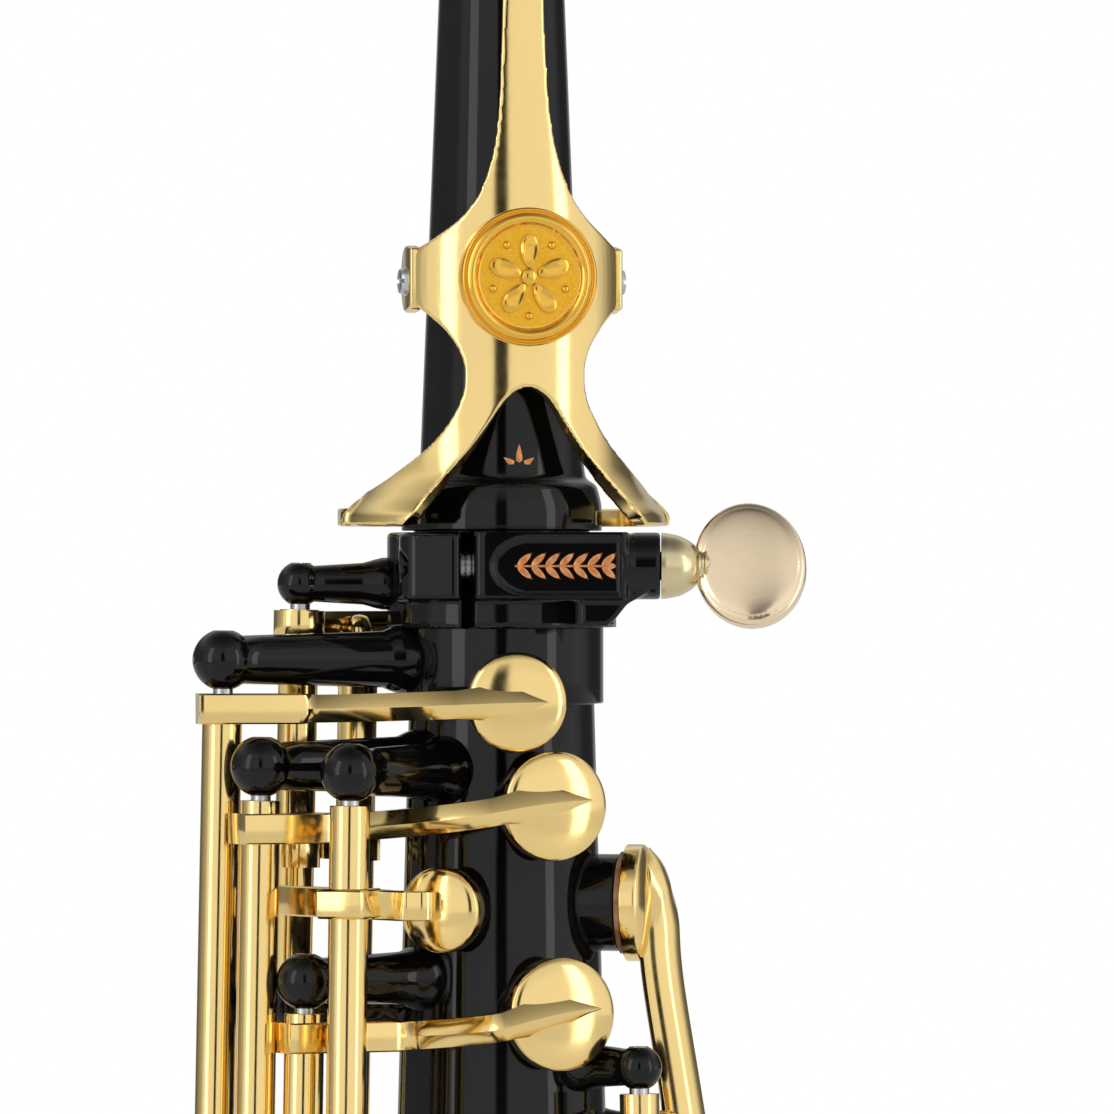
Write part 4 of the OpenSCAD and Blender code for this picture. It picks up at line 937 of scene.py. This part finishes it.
def make_rods():
    """Hinge rods along the CAD rods' own axes, with slotted ends that stand just proud of the posts."""
    mesh = frame["nodes"]["hinge_rods"].data
    bm = bmesh.new()
    trim, slot = 0.32, 0.3
    for faces in loose_parts(mesh):
        points = {v: mesh.vertices[v].co / MM for f in faces for v in mesh.polygons[f].vertices}
        high = max(p.z for p in points.values())
        low = min(p.z for p in points.values())
        ends = []
        for level in (low, high):
            near = [p for p in points.values() if abs(p.z - level) < 0.5]
            ends.append(sum(near, Vector()) / len(near))
        a, b = ends
        along = (b - a).normalized()
        place = Matrix.Translation(a) @ along.to_track_quat("Z", "Y").to_matrix().to_4x4()
        length = (b - a).length - trim
        rod = bmesh.new()
        lathe(rod, [(0, 0), *rounded([(1, 0), (1, length), (0, length)], 0.12)], place, 32)
        cut = bmesh.new()
        box(cut, (-2, -0.15, length - slot), (2, 0.15, length + 1), place)
        result = combine(rod, ("DIFFERENCE", cut))
        part = bpy.data.meshes.new("rod")
        result.to_mesh(part)
        result.free()
        bm.from_mesh(part)
    piece("hinge_rods_turned", bm, "body", "steel", bevel_mm=0, replaces=["hinge_rods"])


make_body_tube()
make_neck_tube()
make_neck_clamp()
make_plate_ornament()
make_clamp_screw()
make_octave_key()
make_medallion()
make_high_key("high_g", 519.1, 299.4, 520.6, 8.0, (312, -86, 38))
make_high_key("high_fsharp", 507.2, 265.4, 510.0, 6.8, (278, -78, 37), droop=0.6)
make_high_key("high_e", 486.4, 353.2, 488.8, 9.5, (374, -94, 28, 22, 7.5), droop=0.6)
make_vent_key()
make_palm_key("palm_f", 476.6, 454, twist=52)
make_palm_key("palm_eb", 442, 420)
make_palm_key("palm_d", 434, 412)
make_rods()


# ---- The rest of the CAD keeps its shape ----


# Heights of the finger pearls, their angle, their distance from the body and their size
PEARL_Z = {"b": 434, "a": 412, "g": 389, "f": 309, "e": 276, "d": 243}
PEARL_PHI, PEARL_UP, PEARL_R, PEARL_FLOOR, PEARL_DEEP = 24, 8.6, 5.3, 0.3, 1.2
PAD_SLOT, PEARL_SLOT = 1, 2


def paint_key(obj, name):
    """Gives a key's separate pad leather, and the faces in the space of its finger pearl pearl."""
    mesh = obj.data
    mesh.materials.append(MATERIALS["leather"])
    mesh.materials.append(PEARL)
    for faces in sorted(loose_parts(mesh), key=len)[:-1]:
        for f in faces:
            mesh.polygons[f].material_index = PAD_SLOT
    if name in PEARL_Z:
        z = PEARL_Z[name]
        into_dish = facing(PEARL_PHI, body_r(z) + PEARL_UP, z).inverted()
        for face in mesh.polygons:
            spot = into_dish @ (face.center / MM)
            deep_enough = PEARL_FLOOR < spot.z < PEARL_FLOOR + PEARL_DEEP
            if math.hypot(spot.x, spot.y) < PEARL_R and deep_enough:
                face.material_index = PEARL_SLOT


# Width of the rounded edge of each node, in mm
EDGE = 0.15
BEVELS = {"body_tube": 0.12, "bell": 0.1, "reed": 0.05, "guard_felts": 0.3, "needle_springs": 0}
slot_of = {s["node"]: s["material_slot"] for s in frame["record"]["subparts"]}
for node, obj in frame["nodes"].items():
    obj.data.materials.clear()
    obj.data.materials.append(MATERIALS[slot_of[node]])
    if node.removesuffix("_key") in HOLES:
        paint_key(obj, node.removesuffix("_key"))
    finish_surface(obj, BEVELS.get(node, EDGE), weld=True)


# ---- Camera, light and floor ----

VIEW_CENTRE = Vector((5.6, 0, 534.3)) * MM
VIEW_WIDTH = 111.4 * MM
VIEW_DISTANCE = 1.0
SENSOR = 36.0
KEYS_FRONT = 0.012  # how far the upper keys stand in front of the bore's axis
FLOOR_RADIUS = 8.0
SKY_STRENGTH, SKY_ANGLE = 1.1, 70

camera_data = bpy.data.cameras.new("camera")
camera_data.sensor_width = SENSOR
camera_data.lens = SENSOR * VIEW_DISTANCE / VIEW_WIDTH
camera_data.clip_start = 0.01
camera_data.clip_end = 50
camera = bpy.data.objects.new("camera", camera_data)
camera.location = VIEW_CENTRE + Vector((0, -VIEW_DISTANCE - KEYS_FRONT, 0))
camera.rotation_euler = (math.radians(90), 0, 0)
COLLECTION.objects.link(camera)
bpy.context.scene.camera = camera


def softbox(name, place, size, power, target=(0, 0, 0.5)):
    data = bpy.data.lights.new(name, "AREA")
    data.shape = "RECTANGLE"
    data.size, data.size_y = size
    data.energy = power
    light = bpy.data.objects.new(name, data)
    light.location = place
    light.rotation_euler = (Vector(target) - Vector(place)).to_track_quat("-Z", "Y").to_euler()
    COLLECTION.objects.link(light)


softbox("key_left", (-1.3, -1.1, 1.0), (0.5, 1.6), 4)
softbox("fill_right", (1.5, -0.9, 0.8), (0.35, 1.6), 3)
sky_data = bpy.data.lights.new("sky", "SUN")
sky_data.energy = SKY_STRENGTH
sky_data.angle = math.radians(SKY_ANGLE)
sky = bpy.data.objects.new("sky", sky_data)
sky.rotation_euler = (math.radians(20), math.radians(-15), 0)
sky.visible_glossy = False
COLLECTION.objects.link(sky)

bpy.context.scene.view_settings.view_transform = "Standard"

floor_mesh = bmesh.new()
bmesh.ops.create_circle(floor_mesh, cap_ends=True, segments=128, radius=FLOOR_RADIUS)
mesh = bpy.data.meshes.new("floor")
floor_mesh.to_mesh(mesh)
floor_mesh.free()
floor = bpy.data.objects.new("floor", mesh)
COLLECTION.objects.link(floor)
floor_mat, floor_shader = new_material("floor_paper", (0.82, 0.82, 0.81), 0.6)
add_bump(floor_mat, floor_shader, noise(floor_mat, 40), 0.3)
floor.data.materials.append(floor_mat)


# Brightness round the horizon, by share of the circle. 0 and 1 are the front and 0.25 is the left.
PANELS = [(0, 0.01), (0.014, 0.015), (0.022, 0.95), (0.2, 0.9), (0.225, 0.5), (0.3, 0.3), (0.38, 0.12),
          (0.42, 0.12), (0.45, 0.45), (0.56, 0.45), (0.59, 0.1), (0.63, 0.12), (0.665, 0.2), (0.7, 0.6),
          (0.73, 0.9), (0.81, 0.95), (0.978, 0.95), (0.986, 0.015), (1, 0.01)]
# Light by height, where 0 is straight down, 0.5 level and 1 straight up: its brightness, and its
# share against the panels
CAPS = [(0, 0.3), (0.5, 0.5), (0.82, 0.85), (0.91, 0.4), (1, 0.12)]
CAP_SHARE = [(0, 1), (0.2, 0.9), (0.36, 0), (0.66, 0), (0.8, 0.9), (1, 1)]


def studio_world():
    """A plain light tent: white behind the object, upright panels round it, softer above and below."""
    world = bpy.data.worlds.new("studio")
    bpy.context.scene.world = world
    world.use_nodes = True
    nodes, links = world.node_tree.nodes, world.node_tree.links
    nodes.clear()

    def ramp(value, stops):
        node = nodes.new("ShaderNodeValToRGB")
        links.new(value, node.inputs["Fac"])
        elements = node.color_ramp.elements
        elements[0].position, elements[0].color = stops[0][0], (stops[0][1],) * 3 + (1,)
        elements[1].position, elements[1].color = stops[-1][0], (stops[-1][1],) * 3 + (1,)
        for position, level in stops[1:-1]:
            elements.new(position).color = (level,) * 3 + (1,)
        return node.outputs["Color"]

    where = nodes.new("ShaderNodeTexCoord")
    split = nodes.new("ShaderNodeSeparateXYZ")
    turn = nodes.new("ShaderNodeMath")
    turn.operation = "ARCTAN2"
    share = nodes.new("ShaderNodeMapRange")
    share.inputs["From Min"].default_value = -math.pi
    share.inputs["From Max"].default_value = math.pi
    height = nodes.new("ShaderNodeMapRange")
    height.inputs["From Min"].default_value = -1
    links.new(where.outputs["Generated"], split.inputs["Vector"])
    links.new(split.outputs["X"], turn.inputs[0])
    links.new(split.outputs["Y"], turn.inputs[1])
    links.new(turn.outputs["Value"], share.inputs["Value"])
    links.new(split.outputs["Z"], height.inputs["Value"])
    panels = ramp(share.outputs["Result"], PANELS)
    above = ramp(height.outputs["Result"], CAPS)
    steep = ramp(height.outputs["Result"], CAP_SHARE)
    blend = nodes.new("ShaderNodeMix")
    blend.data_type = "RGBA"
    links.new(steep, blend.inputs["Factor"])
    links.new(panels, blend.inputs["A"])
    links.new(above, blend.inputs["B"])
    seen, mirrored = nodes.new("ShaderNodeBackground"), nodes.new("ShaderNodeBackground")
    seen.inputs["Color"].default_value = (1, 1, 1, 1)
    links.new(blend.outputs["Result"], mirrored.inputs["Color"])
    rays, choose = nodes.new("ShaderNodeLightPath"), nodes.new("ShaderNodeMixShader")
    output = nodes.new("ShaderNodeOutputWorld")
    links.new(rays.outputs["Is Camera Ray"], choose.inputs["Fac"])
    links.new(mirrored.outputs["Background"], choose.inputs[1])
    links.new(seen.outputs["Background"], choose.inputs[2])
    links.new(choose.outputs["Shader"], output.inputs["Surface"])


studio_world()
